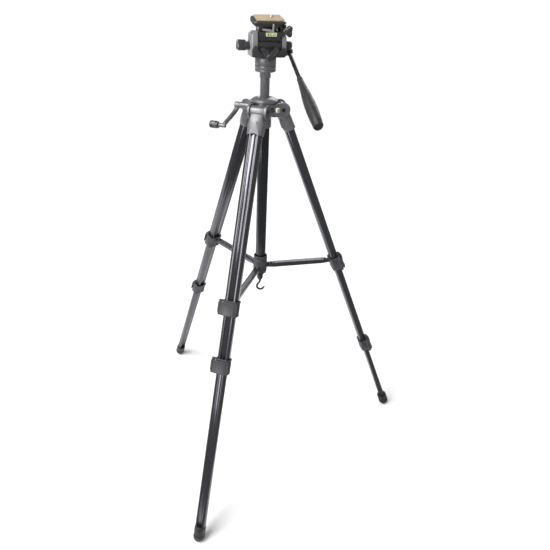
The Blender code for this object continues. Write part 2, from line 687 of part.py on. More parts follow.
def handle_meshes(finishes):
    """The handle's rod and its swelling grip."""
    shaft = moved(rod(4.5, -9.5, HANDLE_JUNCTION + 20.0, "X"), handle_frame())
    profile = []
    for along, radius in ((0.0, 5.6), (1.5, 6.3), (24.0, 7.4), (58.0, 10.6), (86.0, 12.3), (110.0, 12.6),
                          (134.0, 11.6), (150.5, 10.2), (152.5, 9.4)):
        profile.append((radius, HANDLE_JUNCTION + along))
    bore = moved(rod(4.8, HANDLE_JUNCTION - 5.0, HANDLE_JUNCTION + 21.0, "X"), handle_frame())
    grip = moved(turned(profile, 24, "X"), handle_frame())
    return (make_mesh("handle_rod", finishes["black_tube"], shaft),
            make_mesh("handle_grip", finishes["rubber"], grip, cuts=[bore]))


def flip_frame_mesh(material):
    """Platform that carries the plate: a flared tray, its keel, and the barrel of the flip hinge."""
    wide = shifted(rounded_rect(71.0, 33.0, 5.0), (-0.5, -1.0))
    narrow = shifted(rounded_rect(61.0, 30.0, 4.0), (-0.3, -2.0))
    tray = lofted([loop_at(narrow, 44.0), loop_at(wide, 48.0), loop_at(wide, PLATE_LOW - 0.3)])
    barrel = rod(4.4, -12.6, 8.6, "Y", (FLIP_X, FLIP_Z))
    adds = [
        box((-22.5, -14.0, 34.4), (18.0, 12.0, 46.0)),
        box((29.0, -12.6, 39.0), (FLIP_X, 8.6, 47.0)),
        barrel,
    ]
    cuts = [
        rod(2.6, -30.0, 30.0, "Y", (FLIP_X, FLIP_Z), 12),
        box((-13.4, -13.4, 48.0), (13.4, 13.4, 60.0)),
        box((RELEASE_X - 4.0, -30.0, 40.0), (RELEASE_X + 4.0, RELEASE_Y + 3.5, 52.4)),
    ]
    return make_mesh("flip_frame", material, tray, adds, cuts)


def plate_mesh(material):
    """Quick-release plate with sloping edges, its locating block and a counterbore for the screw's head."""
    base = shifted(rounded_rect(*PLATE_BASE), PLATE_CENTRE)
    face = shifted(rounded_rect(*PLATE_SIZE), PLATE_CENTRE)
    plate = lofted([loop_at(base, PLATE_LOW), loop_at(base, PLATE_LOW + 1.5), loop_at(face, PLATE_TOP)])
    block = box((-13.0, -13.0, 48.4), (13.0, 13.0, PLATE_LOW + 1))
    cuts = [rod(3.6, 40.0, 70.0, centre=SCREW_PLACE), rod(6.5, 45.0, 51.6, centre=SCREW_PLACE, sides=20)]
    return make_mesh("quick_release_plate", material, plate, [block], cuts)


def release_mesh(material):
    """Release lever: a finger tab on an upright pin."""
    tab = box((-24.0, -1.8, -1.8), (0.0, 1.8, 5.0))
    return make_mesh("release_lever", material, rod(2.4, -2.0, 15.4, sides=14), [tab])


def wing_knob(name, material, grip, neck, hub, axis, bores=()):
    """A lobed knob on a neck: grip is (radius, lift, lobes, turn), neck and each bore (radius, low, high)."""
    radius, lift, lobes, turn = grip
    outline = lobed(radius, lift, lobes, 24, turn)
    small = lobed(radius - 1.2, lift, lobes, 24, turn)
    low, high = hub
    loops = [loop_at(small, low, axis), loop_at(outline, low + 1.5, axis), loop_at(outline, high - 1.5, axis),
             loop_at(small, high, axis)]
    cuts = [rod(bore_radius, start, end, axis, sides=12) for bore_radius, start, end in bores]
    return make_mesh(name, material, lofted(loops), [rod(*neck, axis)], cuts)


def pan_knob_mesh(material):
    """Wing knob that locks the pan: a hub with two wings in a V."""
    back, front = SKIRT_FRONT - 2.0, SKIRT_FRONT - 13.0
    wing = [(0.0, 6.0)] + arc((21.5, 0.0), 4.6, 80, -80, 6) + [(0.0, -6.0)]
    adds = [rod(6.0, back - 1.0, SKIRT_FRONT - 0.3, "Y")]
    for lean in (48, 132):
        blade = prism(wing, front + 1.0, back, "Z")
        adds.append(moved(blade, about("X", 90) @ Matrix.Scale(-1, 4, (0, 0, 1)) @ about("Z", lean)))
    hub = turned([(6.5, front), (7.5, front + 1.0), (7.5, back)], 20, "Y")
    bore = rod(2.9, SKIRT_FRONT - 7.0, SKIRT_FRONT + 5.0, "Y", sides=12)
    return make_mesh("pan_lock_knob", material, hub, adds, [bore])


def build_head(root, finishes):
    """Pan yoke, tilting drum, flipping platform, plate and handle."""
    black = finishes["black_plastic"]
    grey = finishes["light_plastic"]
    column = bpy.data.objects["column"]
    pan = pivot("pan_head", column, (0.0, 0.0, TILT_HEIGHT), about("Z", HEAD_TURN))
    place("pan_yoke", yoke_mesh(black), pan)
    horns = [(13.5, 29.0), (5.5, 30.0), (2.0, 22.0), (-7.0, 22.0), (-11.0, 31.5), (-20.0, 31.5)]
    place("cheek_left", cheek_mesh("cheek_left", grey, CHEEK_LEFT, horns), pan)
    shoulders = [(10.0, 29.0), (-8.0, 29.0), (-20.0, 19.0)]
    place("cheek_right", cheek_mesh("cheek_right", grey, CHEEK_RIGHT, shoulders), pan)
    place("pan_lock_knob", pan_knob_mesh(black), pivot("pan_knob", pan, (0.0, 0.0, PAN_KNOB_Z)))

    untilted = pivot("tilt_axis", pan)
    socket = socket_mesh(black)
    shaft, grip = handle_meshes(finishes)
    tilt = pivot("tilt_head", untilted, turn=about("X", HEAD_TILT))
    place("tilt_drum", drum_mesh(black), tilt)
    place("handle_socket", socket, untilted)
    place("handle_rod", shaft, untilted)
    place("handle_grip", grip, untilted)
    vial = box((-7.5, -22.8, 26.2), (16.3, -18.4, 34.0))
    place("level_vial", make_mesh("level_vial", finishes["level"], vial), tilt)
    tilt_knob = wing_knob("tilt_lock_knob", black, (10.6, 1.9, 3, 90.0), (9.0, -47.0, CHEEK_LEFT[1] - 0.6),
                          (-65.5, -46.0), "X", [(3.3, -60.5, -30.0), (5.0, -42.6, -30.0)])
    place("tilt_lock_knob", tilt_knob, pivot("tilt_knob", untilted))

    flip = pivot("flip_platform", tilt, (FLIP_X, 0.0, FLIP_Z))
    inner = pivot("flip_rest_place", flip, (-FLIP_X, 0.0, -FLIP_Z))
    place("flip_frame", flip_frame_mesh(black), inner)
    flip_knob = wing_knob("flip_lock_knob", black, (10.2, 2.2, 3, 60.0), (5.5, -24.0, -18.4), (-34.0, -23.0),
                          "Y", [(2.5, -30.5, -10.0)])
    place("flip_lock_knob", flip_knob, pivot("flip_knob", tilt, (FLIP_X, 0.0, FLIP_Z)))
    release = pivot("release_body", inner, (RELEASE_X, RELEASE_Y, 36.4))
    place("release_lever", release_mesh(finishes["chrome"]), release)

    plate = pivot("plate_body", inner)
    place("quick_release_plate", plate_mesh(black), plate)
    pad = shifted(rounded_rect(PLATE_SIZE[0] - 3.0, PLATE_SIZE[1] - 3.0, 3.0), PLATE_CENTRE)
    cork = make_mesh("cork_pad", finishes["cork"], prism(pad, PLATE_TOP + 0.3, CORK_TOP),
                     cuts=[rod(3.6, 50.0, 70.0, centre=SCREW_PLACE)])
    place("cork_pad", cork, plate)
    screw = turned([(6.0, 49.2), (6.0, 51.2), (3.1, 51.2), (3.1, 65.0), (2.3, 66.0)], 20)
    holder = pivot("camera_screw_body", plate, (*SCREW_PLACE, 0.0))
    place("camera_screw", make_mesh("camera_screw", finishes["chrome"], screw), holder)


def build():
    """Make the whole tripod, centred over its footprint."""
    clear_scene()
    finishes = {
        "grey_plastic": finish("grey_plastic", (0.115, 0.11, 0.122), 0.45, 0.0),
        "light_plastic": finish("light_plastic", (0.33, 0.33, 0.35), 0.42, 0.1),
        "dark_plastic": finish("dark_plastic", (0.06, 0.058, 0.065), 0.5, 0.0),
        "black_plastic": finish("black_plastic", (0.018, 0.018, 0.02), 0.45, 0.0),
        "leg_tube": finish("leg_tube", (0.2, 0.2, 0.22), 0.3, 0.9),
        "black_tube": finish("black_tube", (0.012, 0.014, 0.016), 0.22, 0.3),
        "steel": finish("steel", (0.1, 0.1, 0.11), 0.4, 0.8),
        "chrome": finish("chrome", (0.75, 0.75, 0.77), 0.2, 1.0),
        "rubber": finish("rubber", (0.02, 0.02, 0.022), 0.6, 0.0),
        "cork": finish("cork", (0.52, 0.42, 0.28), 0.85, 0.0),
        "level": finish("level", (0.7, 0.75, 0.2), 0.2, 0.0),
    }
    root = pivot("tripod", None, (0.0, column_offset(), 0.0))
    build_spider(root, finishes)
    build_legs(root, finishes)
    build_braces(root, finishes)
    build_column(root, finishes)
    build_head(root, finishes)


build()
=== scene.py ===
"""Looks of the tripod with a fluid head: fine meshes, materials, floor, light and camera.

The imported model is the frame. Each fine piece is modelled in the frame of its moving body, in
millimetres, and stands for the plain CAD nodes named beside it. The column stands on the Z axis, the
front leg points along -Y, and the other two legs stand 120 degrees round from it.
"""
import math

import bmesh
import bpy
from mathutils import Matrix, Vector


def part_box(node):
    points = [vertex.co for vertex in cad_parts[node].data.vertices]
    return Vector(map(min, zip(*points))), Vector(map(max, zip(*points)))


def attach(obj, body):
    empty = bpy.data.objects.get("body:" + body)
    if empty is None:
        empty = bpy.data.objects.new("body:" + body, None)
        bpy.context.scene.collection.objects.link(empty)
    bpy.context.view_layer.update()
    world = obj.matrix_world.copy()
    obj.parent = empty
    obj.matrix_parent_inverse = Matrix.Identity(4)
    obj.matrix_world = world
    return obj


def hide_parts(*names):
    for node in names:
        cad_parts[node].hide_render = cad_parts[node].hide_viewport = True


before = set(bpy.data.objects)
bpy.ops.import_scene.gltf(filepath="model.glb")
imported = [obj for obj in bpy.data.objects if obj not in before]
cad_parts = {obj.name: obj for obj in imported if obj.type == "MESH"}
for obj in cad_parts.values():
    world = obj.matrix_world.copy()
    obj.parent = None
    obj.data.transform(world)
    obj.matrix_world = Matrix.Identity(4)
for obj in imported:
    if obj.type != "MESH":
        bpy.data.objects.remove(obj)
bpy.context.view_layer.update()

MM = 0.001

# Stance.
PIVOT_HEIGHT = 1000
PIVOT_RADIUS = 41.1
SPLAY = 22.19
LEG_AZIMUTHS = {"front": 0, "right": 120, "left": 240}

# Leg tubes as (width, depth, corner radius), outside.
TUBE_WALL = 1.1
TUBE_GROOVE = 0.8
UPPER_TUBE = (33.5, 22.3, 7)
MIDDLE_TUBE = (30, 19.6, 6)
LOWER_TUBE = (26.4, 14.8, 5)
FIT_GAP = 0.35

# Places along a leg, measured down from its pivot.
UPPER_TUBE_TOP = 34.5
LOCK_ONE_DOWN = 459
LOCK_INSERT = 10
MIDDLE_LENGTH = 445
LOWER_LENGTH = 495
MIDDLE_OUT = {"front": 145.1, "right": 327.4, "left": 225.6}
FOOT_RADIUS = 15
FOOT_HEIGHT = 14.5
FOOT_DOWN = (PIVOT_HEIGHT - FOOT_HEIGHT) / math.cos(math.radians(SPLAY))

# Flip locks.
LOCK_ONE = (40, 30, 8)
LOCK_TWO = (37, 27.5, 8)
LOCK_ABOVE = 20
LOCK_BELOW = 17.5
LEVER_SPAN = (-15, 16.5)
BARREL_SPAN = (-13.6, 16.1)
LEVER_HINGE = (-24.5, -9)

# Braces between the sliding hub and the first locks.
HUB_PIN_RADIUS = 24.6
BRACE_HEIGHT = 582
BRACE_PIN_OFFSET = 23.5
BRACE_WIDTH = 13
BRACE_DEPTH = 12
TONGUE_HALF = 2.8

# Centre column.
TUBE_OUTER = 13.5
TUBE_INNER = 12.7
TUBE_TOP = 985
TUBE_BOTTOM = 566
COLUMN_OUTER = 10.7
COLUMN_INNER = 9.4
COLUMN_BOTTOM = 690
COLUMN_TOP = 1100
SHAFT_Y = -16.5
SHAFT_Z = 4.5
RACK_PITCH = 2 * math.pi * 5 / 8
RACK_BELOW = 62
RACK_ABOVE = 13
HOOK_TURN = 16.4

# Crank.
CRANK_THROW = 50
CRANK_ANGLE = -11.5
CRANK_HUB_END = -66.4
CRANK_NECK_END = -103.6
CRANK_KNOB_END = -126

# Head.
PAN_BASE_BOTTOM = 1067
TILT_HEIGHT = 1134
HEAD_TURN = 33
HEAD_TILT = 11.5
DRUM_RADIUS = 18
DRUM_ENDS = (-23, 31.4)
CHEEK_LEFT = (-23.6, -37)
CHEEK_RIGHT = (32, 41)
SKIRT_FRONT = -25.6
PAN_KNOB_Z = -20.5
HANDLE_X = 50.5
HANDLE_START = (-5.8, -10.1)
HANDLE_DROP = 25.45
HANDLE_JUNCTION = 97.6
FLIP_X = 38.5
FLIP_Z = 38.8
RELEASE_X = 8
RELEASE_Y = -19.5
PLATE_CENTRE = (-0.5, -6.8)
PLATE_BASE = (71, 44.5, 5)
PLATE_SIZE = (62, 41, 4)
PLATE_LOW = 54
PLATE_TOP = 58
CORK_TOP = 60.3
SCREW_PLACE = (5.5, -5.5)

# Camera from the column's axis, in metres and degrees.
CAMERA_PLACE = (0.3929, -1.1877, 1.2909)
CAMERA_AZIMUTH = 16.41
CAMERA_ELEVATION = 30.588
CAMERA_ROLL = 2.461
CAMERA_LENS = 34.55

# Studio.
KEY_DIRECTION = (0.55, 0.6, -1)
KEY_STRENGTH = 3.65
SKY_STRENGTH = 0.26
FLOOR_DROP = 0.0005
SHEET_DROP = 0.0003

# How far the lightened edges reach, in metres: partly wear, partly a painted highlight along edges.
WEAR_AND_GLINT_REACH = 0.0009

# Facets round a large turned shape.
ROUND = 64

AXIS_ORDER = {
    "X": lambda u, v, h: (h, u, v),
    "Y": lambda u, v, h: (u, h, v),
    "Z": lambda u, v, h: (u, v, h),
}


# ---- outlines

def rounded_rect(width, depth, radius, steps=8, centre=(0, 0)):
    """Outline of a rectangle with round corners."""
    points = []
    for corner, (sign_x, sign_y) in enumerate(((1, 1), (-1, 1), (-1, -1), (1, -1))):
        bend = (centre[0] + sign_x * (width / 2 - radius), centre[1] + sign_y * (depth / 2 - radius))
        points += arc(bend, radius, 90 * corner, 90 * (corner + 1), steps)
    return points


def arc(centre, radius, start, end, steps):
    """Points of an arc, from start to end in degrees."""
    points = []
    for step in range(steps + 1):
        angle = math.radians(start + (end - start) * step / steps)
        points.append((centre[0] + radius * math.cos(angle), centre[1] + radius * math.sin(angle)))
    return points


def circle(radius, sides=ROUND, centre=(0, 0)):
    """Outline of a full circle."""
    return arc(centre, radius, 0, 360 * (sides - 1) / sides, sides - 1)


def lobed(radius, lift, lobes, steps, turn=0, ribs=0):
    """Outline of a knob whose radius swells at each lobe, with fine grip ribs."""
    points = []
    for step in range(steps):
        angle = 2 * math.pi * step / steps
        reach = radius + lift * math.cos(lobes * angle) - ribs * (step % 4 == 0)
        place_angle = angle + math.radians(turn)
        points.append((reach * math.cos(place_angle), reach * math.sin(place_angle)))
    return points


def tube_outline(size, inset=0, groove=0, crown=0.5):
    """Section of a leg tube: crowned faces, and a groove each side of the middle of the wide faces."""
    width, depth, radius = size
    half_width, half_depth = width / 2 - inset, depth / 2 - inset
    offset = 0.185 * width
    stations = ((-1.6, 0), (-1, 0.75), (-0.75, 1), (0.75, 1), (1, 0.75), (1.6, 0))
    corners = rounded_rect(2 * half_width, 2 * half_depth, max(radius - inset, 1))
    points = []
    for sign in (1, -1):
        side = [point for point in corners if point[1] * sign > 0]
        side.sort(key=lambda point: -sign * point[0])
        points += [point for point in side if sign * point[0] > 0]
        for centre in (offset, -offset):
            for station, share in stations:
                points.append((sign * (centre - station), sign * (half_depth - share * groove)))
        points += [point for point in side if sign * point[0] <= 0]
    crowned = []
    for x, y in points:
        drop = crown * min(1, (x / half_width) ** 2)
        crowned.append((x, y - math.copysign(drop * min(1, abs(y) / half_depth), y)))
    return crowned


# ---- shapes

def lofted(loops, ring=False):
    """Skin successive loops of points; a ring joins the last to the first, else the ends are capped."""
    shape = bmesh.new()
    rows = [[shape.verts.new(point) for point in points] for points in loops]
    pairs = list(zip(rows, rows[1:]))
    if ring:
        pairs.append((rows[-1], rows[0]))
    else:
        shape.faces.new(rows[0])
        shape.faces.new(rows[-1])
    for first, second in pairs:
        count = len(first)
        for index in range(count):
            after = (index + 1) % count
            shape.faces.new((first[index], first[after], second[after], second[index]))
    bmesh.ops.recalc_face_normals(shape, faces=shape.faces)
    return shape


def loop_at(outline, height, axis="Z"):
    """An outline placed at a height along an axis."""
    return [Vector(AXIS_ORDER[axis](u, v, height)) for u, v in outline]


def prism(outline, low, high, axis="Z"):
    """An outline pushed from low to high along an axis."""
    return lofted([loop_at(outline, low, axis), loop_at(outline, high, axis)])


def box(low, high):
    """A block between two corners."""
    outline = [(low[0], low[1]), (high[0], low[1]), (high[0], high[1]), (low[0], high[1])]
    return prism(outline, low[2], high[2])


def rod(radius, low, high, axis="Z", centre=(0, 0), sides=32):
    """A plain round bar along an axis."""
    return prism(circle(radius, sides, centre), low, high, axis)


def turned(profile, sides=ROUND, axis="Z", ring=False, centre=(0, 0)):
    """A profile of (radius, height) points turned about an axis."""
    loops = [loop_at(circle(radius, sides, centre), height, axis) for radius, height in profile]
    return lofted(loops, ring)


def swept(path, radii, sides=20):
    """A round bar along a path of points in one plane, with a radius for each point."""
    points = [Vector(point) for point in path]
    normal = (points[1] - points[0]).cross(points[-1] - points[0]).normalized()
    loops = []
    for index, point in enumerate(points):
        before = points[max(index - 1, 0)]
        after = points[min(index + 1, len(points) - 1)]
        side = (after - before).normalized().cross(normal)
        loops.append([
            point + radii[index] * (side * math.cos(turn) + normal * math.sin(turn))
            for turn in (2 * math.pi * step / sides for step in range(sides))
        ])
    return lofted(loops)


def smooth_path(points, steps=6):
    """A finer path that bends softly through the given points."""
    points = [Vector(point) for point in points]
    fine = []
    for index in range(len(points) - 1):
        before = points[max(index - 1, 0)]
        start, end = points[index], points[index + 1]
        after = points[min(index + 2, len(points) - 1)]
        for step in range(steps):
            t = step / steps
            fine.append(0.5 * (2 * start + (end - before) * t
                               + (2 * before - 5 * start + 4 * end - after) * t ** 2
                               + (3 * start - before - 3 * end + after) * t ** 3))
    return fine + [points[-1]]


def moved(shape, matrix):
    """The same shape under a matrix."""
    bmesh.ops.transform(shape, matrix=matrix, verts=shape.verts)
    return shape


def about(axis, degrees):
    """Rotation matrix about an axis through the origin."""
    return Matrix.Rotation(math.radians(degrees), 4, axis)


def shift(x=0, y=0, z=0):
    """Translation by millimetres, in a frame of metres."""
    return Matrix.Translation(Vector((x, y, z)) * MM)


def new_object(name, data):
    """An object in the scene."""
    made = bpy.data.objects.new(name, data)
    bpy.context.scene.collection.objects.link(made)
    return made


def temporary(shape):
    """A helper object, shaded smooth, that is used by a Boolean and then removed."""
    mesh = shape
    if not isinstance(shape, bpy.types.Mesh):
        mesh = bpy.data.meshes.new("helper")
        shape.to_mesh(mesh)
        shape.free()
    helper = new_object("helper", mesh)
    mesh.shade_smooth()
    return helper


def combine(shape, adds=(), cuts=(), keeps=(), bevel=0):
    """Join shapes, cut others out, keep what lies inside others, then round the edges. In millimetres."""
    target = temporary(shape)
    helpers = []
    for operation, shapes in (("UNION", adds), ("DIFFERENCE", cuts), ("INTERSECT", keeps)):
        for other in shapes:
            helper = temporary(other)
            modifier = target.modifiers.new(operation, "BOOLEAN")
            modifier.operation = operation
            modifier.object = helper
            helpers.append(helper)
    if bevel:
        weld = target.modifiers.new("weld", "WELD")
        weld.merge_threshold = 0.02
        rounding = target.modifiers.new("bevel", "BEVEL")
        rounding.width = bevel
        rounding.segments = 2
        rounding.limit_method = "ANGLE"
        rounding.angle_limit = math.radians(28)
    graph = bpy.context.evaluated_depsgraph_get()
    mesh = bpy.data.meshes.new_from_object(target.evaluated_get(graph))
    for helper in [target, *helpers]:
        bpy.data.objects.remove(helper)
    return mesh


def finished(mesh):
    """The mesh in metres, shaded smooth between its sharp edges."""
    mesh.transform(Matrix.Scale(MM, 4))
    mesh.materials.clear()
    mesh.shade_smooth()
    mesh.set_sharp_from_angle(angle=math.radians(40))
    return mesh


def solid(shape, adds=(), cuts=(), bevel=0.5):
    """The finished mesh of a piece, with soft edges."""
    return finished(combine(shape, adds, cuts, bevel=bevel))


# ---- places of the moving bodies

tube_low, tube_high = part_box("centre_tube")
ROOT = Matrix.Translation(((tube_low.x + tube_high.x) / 2, (tube_low.y + tube_high.y) / 2, 0))
SPIDER = ROOT @ shift(z=PIVOT_HEIGHT)
TUBE_END = ROOT @ shift(z=TUBE_BOTTOM)
HUB = ROOT @ shift(z=BRACE_HEIGHT)
SHAFT = ROOT @ shift(y=SHAFT_Y, z=PIVOT_HEIGHT + SHAFT_Z)
CRANK = SHAFT @ about("X", CRANK_ANGLE)
CRANK_KNOB = CRANK @ shift(z=-CRANK_THROW)
PAN = ROOT @ shift(z=TILT_HEIGHT) @ about("Z", HEAD_TURN)
TILT = PAN @ about("X", HEAD_TILT)


def leg_place(side):
    """Frame of a leg: origin on its axle, local Z up along the leg, local -Y outwards."""
    around = about("Z", LEG_AZIMUTHS[side])
    return ROOT @ around @ shift(y=-PIVOT_RADIUS, z=PIVOT_HEIGHT) @ about("X", -SPLAY)


def show(name, mesh, place, body, finish, *nodes):
    """Put a finished mesh in its body's frame, with the finish of a material slot."""
    thing = new_object(name, mesh)
    thing.matrix_world = place
    if not mesh.materials:
        mesh.materials.append(FINISHES[finish])
    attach(thing, body)
    if nodes:
        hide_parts(*nodes)


# ---- materials

def connect(tree, value, socket):
    """Link another node's output to a socket, or set the socket's own value."""
    if isinstance(value, bpy.types.NodeSocket):
        tree.links.new(value, socket)
    else:
        socket.default_value = value


def add_node(tree, kind, inputs=None, **settings):
    """A shader node with its settings and its inputs' values or links."""
    made = tree.nodes.new(kind)
    for key, value in settings.items():
        setattr(made, key, value)
    for key, value in (inputs or {}).items():
        connect(tree, value, made.inputs[key])
    return made


def new_material(name):
    """A material with its tree, its shader and the piece's own coordinates."""
    material = bpy.data.materials.new(name)
    material.use_nodes = True
    tree = material.node_tree
    coordinates = add_node(tree, "ShaderNodeTexCoord").outputs["Object"]
    return material, tree, tree.nodes["Principled BSDF"], coordinates


def noise(tree, coordinates, scale, detail=4, roughness=0.55, stretch=(1, 1, 1)):
    """Noise in the piece's own coordinates, drawn out along an axis by a stretch below 1."""
    mapping = add_node(tree, "ShaderNodeMapping", {"Vector": coordinates, "Scale": stretch})
    inputs = {"Vector": mapping.outputs["Vector"], "Scale": scale, "Detail": detail, "Roughness": roughness}
    return add_node(tree, "ShaderNodeTexNoise", inputs).outputs["Fac"]


def remap(tree, value, low, high, to_low, to_high):
    """A value moved from one range to another and kept inside it."""
    inputs = {"Value": value, "From Min": low, "From Max": high, "To Min": to_low, "To Max": to_high}
    return add_node(tree, "ShaderNodeMapRange", inputs).outputs["Result"]


def mixed(tree, factor, first, second):
    """Two colours mixed by a factor; each is a colour or another node's output."""
    made = add_node(tree, "ShaderNodeMix", {"Factor": factor}, data_type="RGBA")
    for index, colour in ((6, first), (7, second)):
        connect(tree, (*colour, 1) if isinstance(colour, tuple) else colour, made.inputs[index])
    return made.outputs[2]


def wear_and_glint_mask(tree, coordinates, gain):
    """Where edges are, broken up by noise: the rounded normal against the true one. It lightens edges, partly
    as wear and partly as a painted highlight.
    """
    rounded = add_node(tree, "ShaderNodeBevel", {"Radius": WEAR_AND_GLINT_REACH}, samples=4).outputs["Normal"]
    normal = add_node(tree, "ShaderNodeNewGeometry").outputs["Normal"]
    dot = add_node(tree, "ShaderNodeVectorMath", {0: rounded, 1: normal}, operation="DOT_PRODUCT")
    edge = remap(tree, dot.outputs["Value"], 0.995, 0.88, 0, 1)
    broken = remap(tree, noise(tree, coordinates, 260, 5), 0.42, 0.6, 0, gain)
    return add_node(tree, "ShaderNodeMath", {0: edge, 1: broken}, operation="MULTIPLY").outputs["Value"]


def bumped(tree, height, strength, distance, before=None):
    """Normal bumped by a height, on top of an earlier bump."""
    inputs = {"Height": height, "Strength": strength, "Distance": distance}
    if before is not None:
        inputs["Normal"] = before
    return add_node(tree, "ShaderNodeBump", inputs).outputs["Normal"]


def surface(name, dark, light, rough, metallic=0, grain=1800, bump=0.12, cloud=35,
            stretch=(1, 1, 1), wear_and_glint=None, **sockets):
    """A material with cloudy colour, varied roughness, fine grain, and edges lightened partly as wear and
    partly as a painted highlight.
    """
    material, tree, shader, coordinates = new_material(name)
    patches = noise(tree, coordinates, cloud, 5, 0.6, stretch)
    colour = mixed(tree, remap(tree, patches, 0.3, 0.7, 0, 1), dark, light)
    # Edges mixed towards a lighter colour: partly wear, partly a painted highlight.
    if wear_and_glint is not None:
        wear_and_glint_colour, amount = wear_and_glint
        colour = mixed(tree, wear_and_glint_mask(tree, coordinates, amount), colour, wear_and_glint_colour)
    smudges = noise(tree, coordinates, cloud * 3, 6, 0.65, stretch)
    fine = noise(tree, coordinates, grain, 3, 0.6, stretch)
    inputs = {
        "Base Color": colour, "Metallic": metallic, "Roughness": remap(tree, smudges, 0.3, 0.7, *rough),
        "Normal": bumped(tree, fine, bump, 0.0003),
    }
    for key, value in inputs.items():
        connect(tree, value, shader.inputs[key])
    for key, value in sockets.items():
        shader.inputs[SOCKETS[key]].default_value = value
    return material


def cork_material():
    """Pressed cork: granules of different browns, dark specks and a soft uneven surface."""
    material, tree, shader, coordinates = new_material("cork_granules")
    granules = add_node(tree, "ShaderNodeTexVoronoi", {"Vector": coordinates, "Scale": 620}).outputs
    shade = add_node(tree, "ShaderNodeSeparateColor", {"Color": granules["Color"]}).outputs
    base = mixed(tree, shade["Red"], (0.33, 0.245, 0.155), (0.52, 0.42, 0.29))
    specks = remap(tree, noise(tree, coordinates, 900, 2), 0.64, 0.7, 0, 0.75)
    lumps = bumped(tree, granules["Distance"], 0.5, 0.0004)
    inputs = {
        "Base Color": mixed(tree, specks, base, (0.13, 0.075, 0.035)),
        "Roughness": remap(tree, shade["Green"], 0, 1, 0.78, 0.95),
        "Normal": bumped(tree, noise(tree, coordinates, 2600, 3), 0.3, 0.0002, lumps),
        "Specular IOR Level": 0.25,
    }
    for key, value in inputs.items():
        connect(tree, value, shader.inputs[key])
    return material


SOCKETS = {
    "specular": "Specular IOR Level",
    "coat": "Coat Weight",
    "coat_rough": "Coat Roughness",
    "sheen": "Sheen Weight",
}
ALONG = (1, 1, 0.02)
FINISHES = {
    "grey_plastic": surface(
        "grey_plastic_moulded", (0.15, 0.148, 0.157), (0.2, 0.197, 0.207), (0.28, 0.4), 0.5,
        wear_and_glint=((0.25, 0.25, 0.26), 0.55), specular=0.6),
    "light_plastic": surface(
        "light_plastic_painted", (0.27, 0.27, 0.28), (0.33, 0.33, 0.34), (0.3, 0.42), 0.4,
        wear_and_glint=((0.4, 0.4, 0.41), 0.5), specular=0.55),
    "dark_plastic": surface(
        "dark_plastic_moulded", (0.038, 0.036, 0.041), (0.058, 0.056, 0.062), (0.38, 0.52),
        grain=1400, bump=0.2, wear_and_glint=((0.16, 0.16, 0.17), 0.45)),
    # The most strongly lightened edges: partly wear, partly a painted edge highlight.
    "black_plastic": surface(
        "black_plastic_moulded", (0.015, 0.015, 0.016), (0.026, 0.025, 0.027), (0.26, 0.36),
        grain=1500, bump=0.1, wear_and_glint=((0.16, 0.16, 0.165), 0.8),
        specular=1, coat=0.6, coat_rough=0.3),
    "leg_tube": surface(
        "leg_tube_anodised", (0.115, 0.115, 0.125), (0.135, 0.135, 0.145), (0.19, 0.25), 0.95,
        grain=1600, bump=0, cloud=30, stretch=ALONG),
    "column_tube": surface(
        "column_tube_satin", (0.13, 0.13, 0.14), (0.16, 0.16, 0.17), (0.26, 0.36), 0.45,
        grain=1600, bump=0.02, cloud=60, stretch=ALONG, wear_and_glint=((0.3, 0.3, 0.31), 0.3)),
    "black_tube": surface(
        "black_tube_lacquered", (0.007, 0.008, 0.009), (0.013, 0.014, 0.016), (0.16, 0.26), 0,
        grain=700, bump=0.03, stretch=ALONG, wear_and_glint=((0.2, 0.2, 0.2), 0.3),
        coat=0.2, coat_rough=0.1),
    "steel": surface(
        "steel_blackened", (0.03, 0.03, 0.033), (0.07, 0.07, 0.074), (0.3, 0.45), 0.85,
        grain=1200, bump=0.12, wear_and_glint=((0.2, 0.2, 0.21), 0.25)),
    "chrome": surface(
        "chrome_plated", (0.6, 0.6, 0.61), (0.74, 0.74, 0.75), (0.25, 0.38), 0.75,
        grain=900, bump=0.06, cloud=160),
    "grip_rubber": surface(
        "grip_rubber_moulded", (0.009, 0.009, 0.010), (0.02, 0.019, 0.02), (0.38, 0.55),
        grain=2200, bump=0.3, wear_and_glint=((0.06, 0.06, 0.06), 0.4), sheen=0.1),
    "cork": cork_material(),
    "level": surface(
        "level_liquid_tinted", (0.42, 0.55, 0.02), (0.62, 0.72, 0.06), (0.05, 0.12),
        grain=300, bump=0.01, cloud=220, coat=1, coat_rough=0.03),
    "level_frame": surface(
        "level_frame_white", (0.55, 0.54, 0.5), (0.65, 0.64, 0.61), (0.3, 0.42), grain=1200, bump=0.08,
        wear_and_glint=((0.42, 0.4, 0.36), 0.4)),
    "level_bubble": surface(
        "level_bubble_bright", (0.78, 0.86, 0.35), (0.88, 0.93, 0.5), (0.04, 0.1), cloud=220, bump=0.01,
        coat=1),
}


# ---- spider and centre tube

def screw_head(radius, height):
    """The finished mesh of a pan-head screw with a cross recess, standing on Z."""
    dome = [(radius * 0.96, -0.6), (radius, 0), (radius * 0.97, height * 0.45),
            (radius * 0.8, height * 0.82), (radius * 0.45, height)]
    width, reach, low, high = radius * 0.14, radius * 0.5, height * 0.45, height * 2
    cuts = [box((-x, -y, low), (x, y, high)) for x, y in ((reach, width), (width, reach))]
    return finished(combine(turned(dome, 40), cuts=cuts))


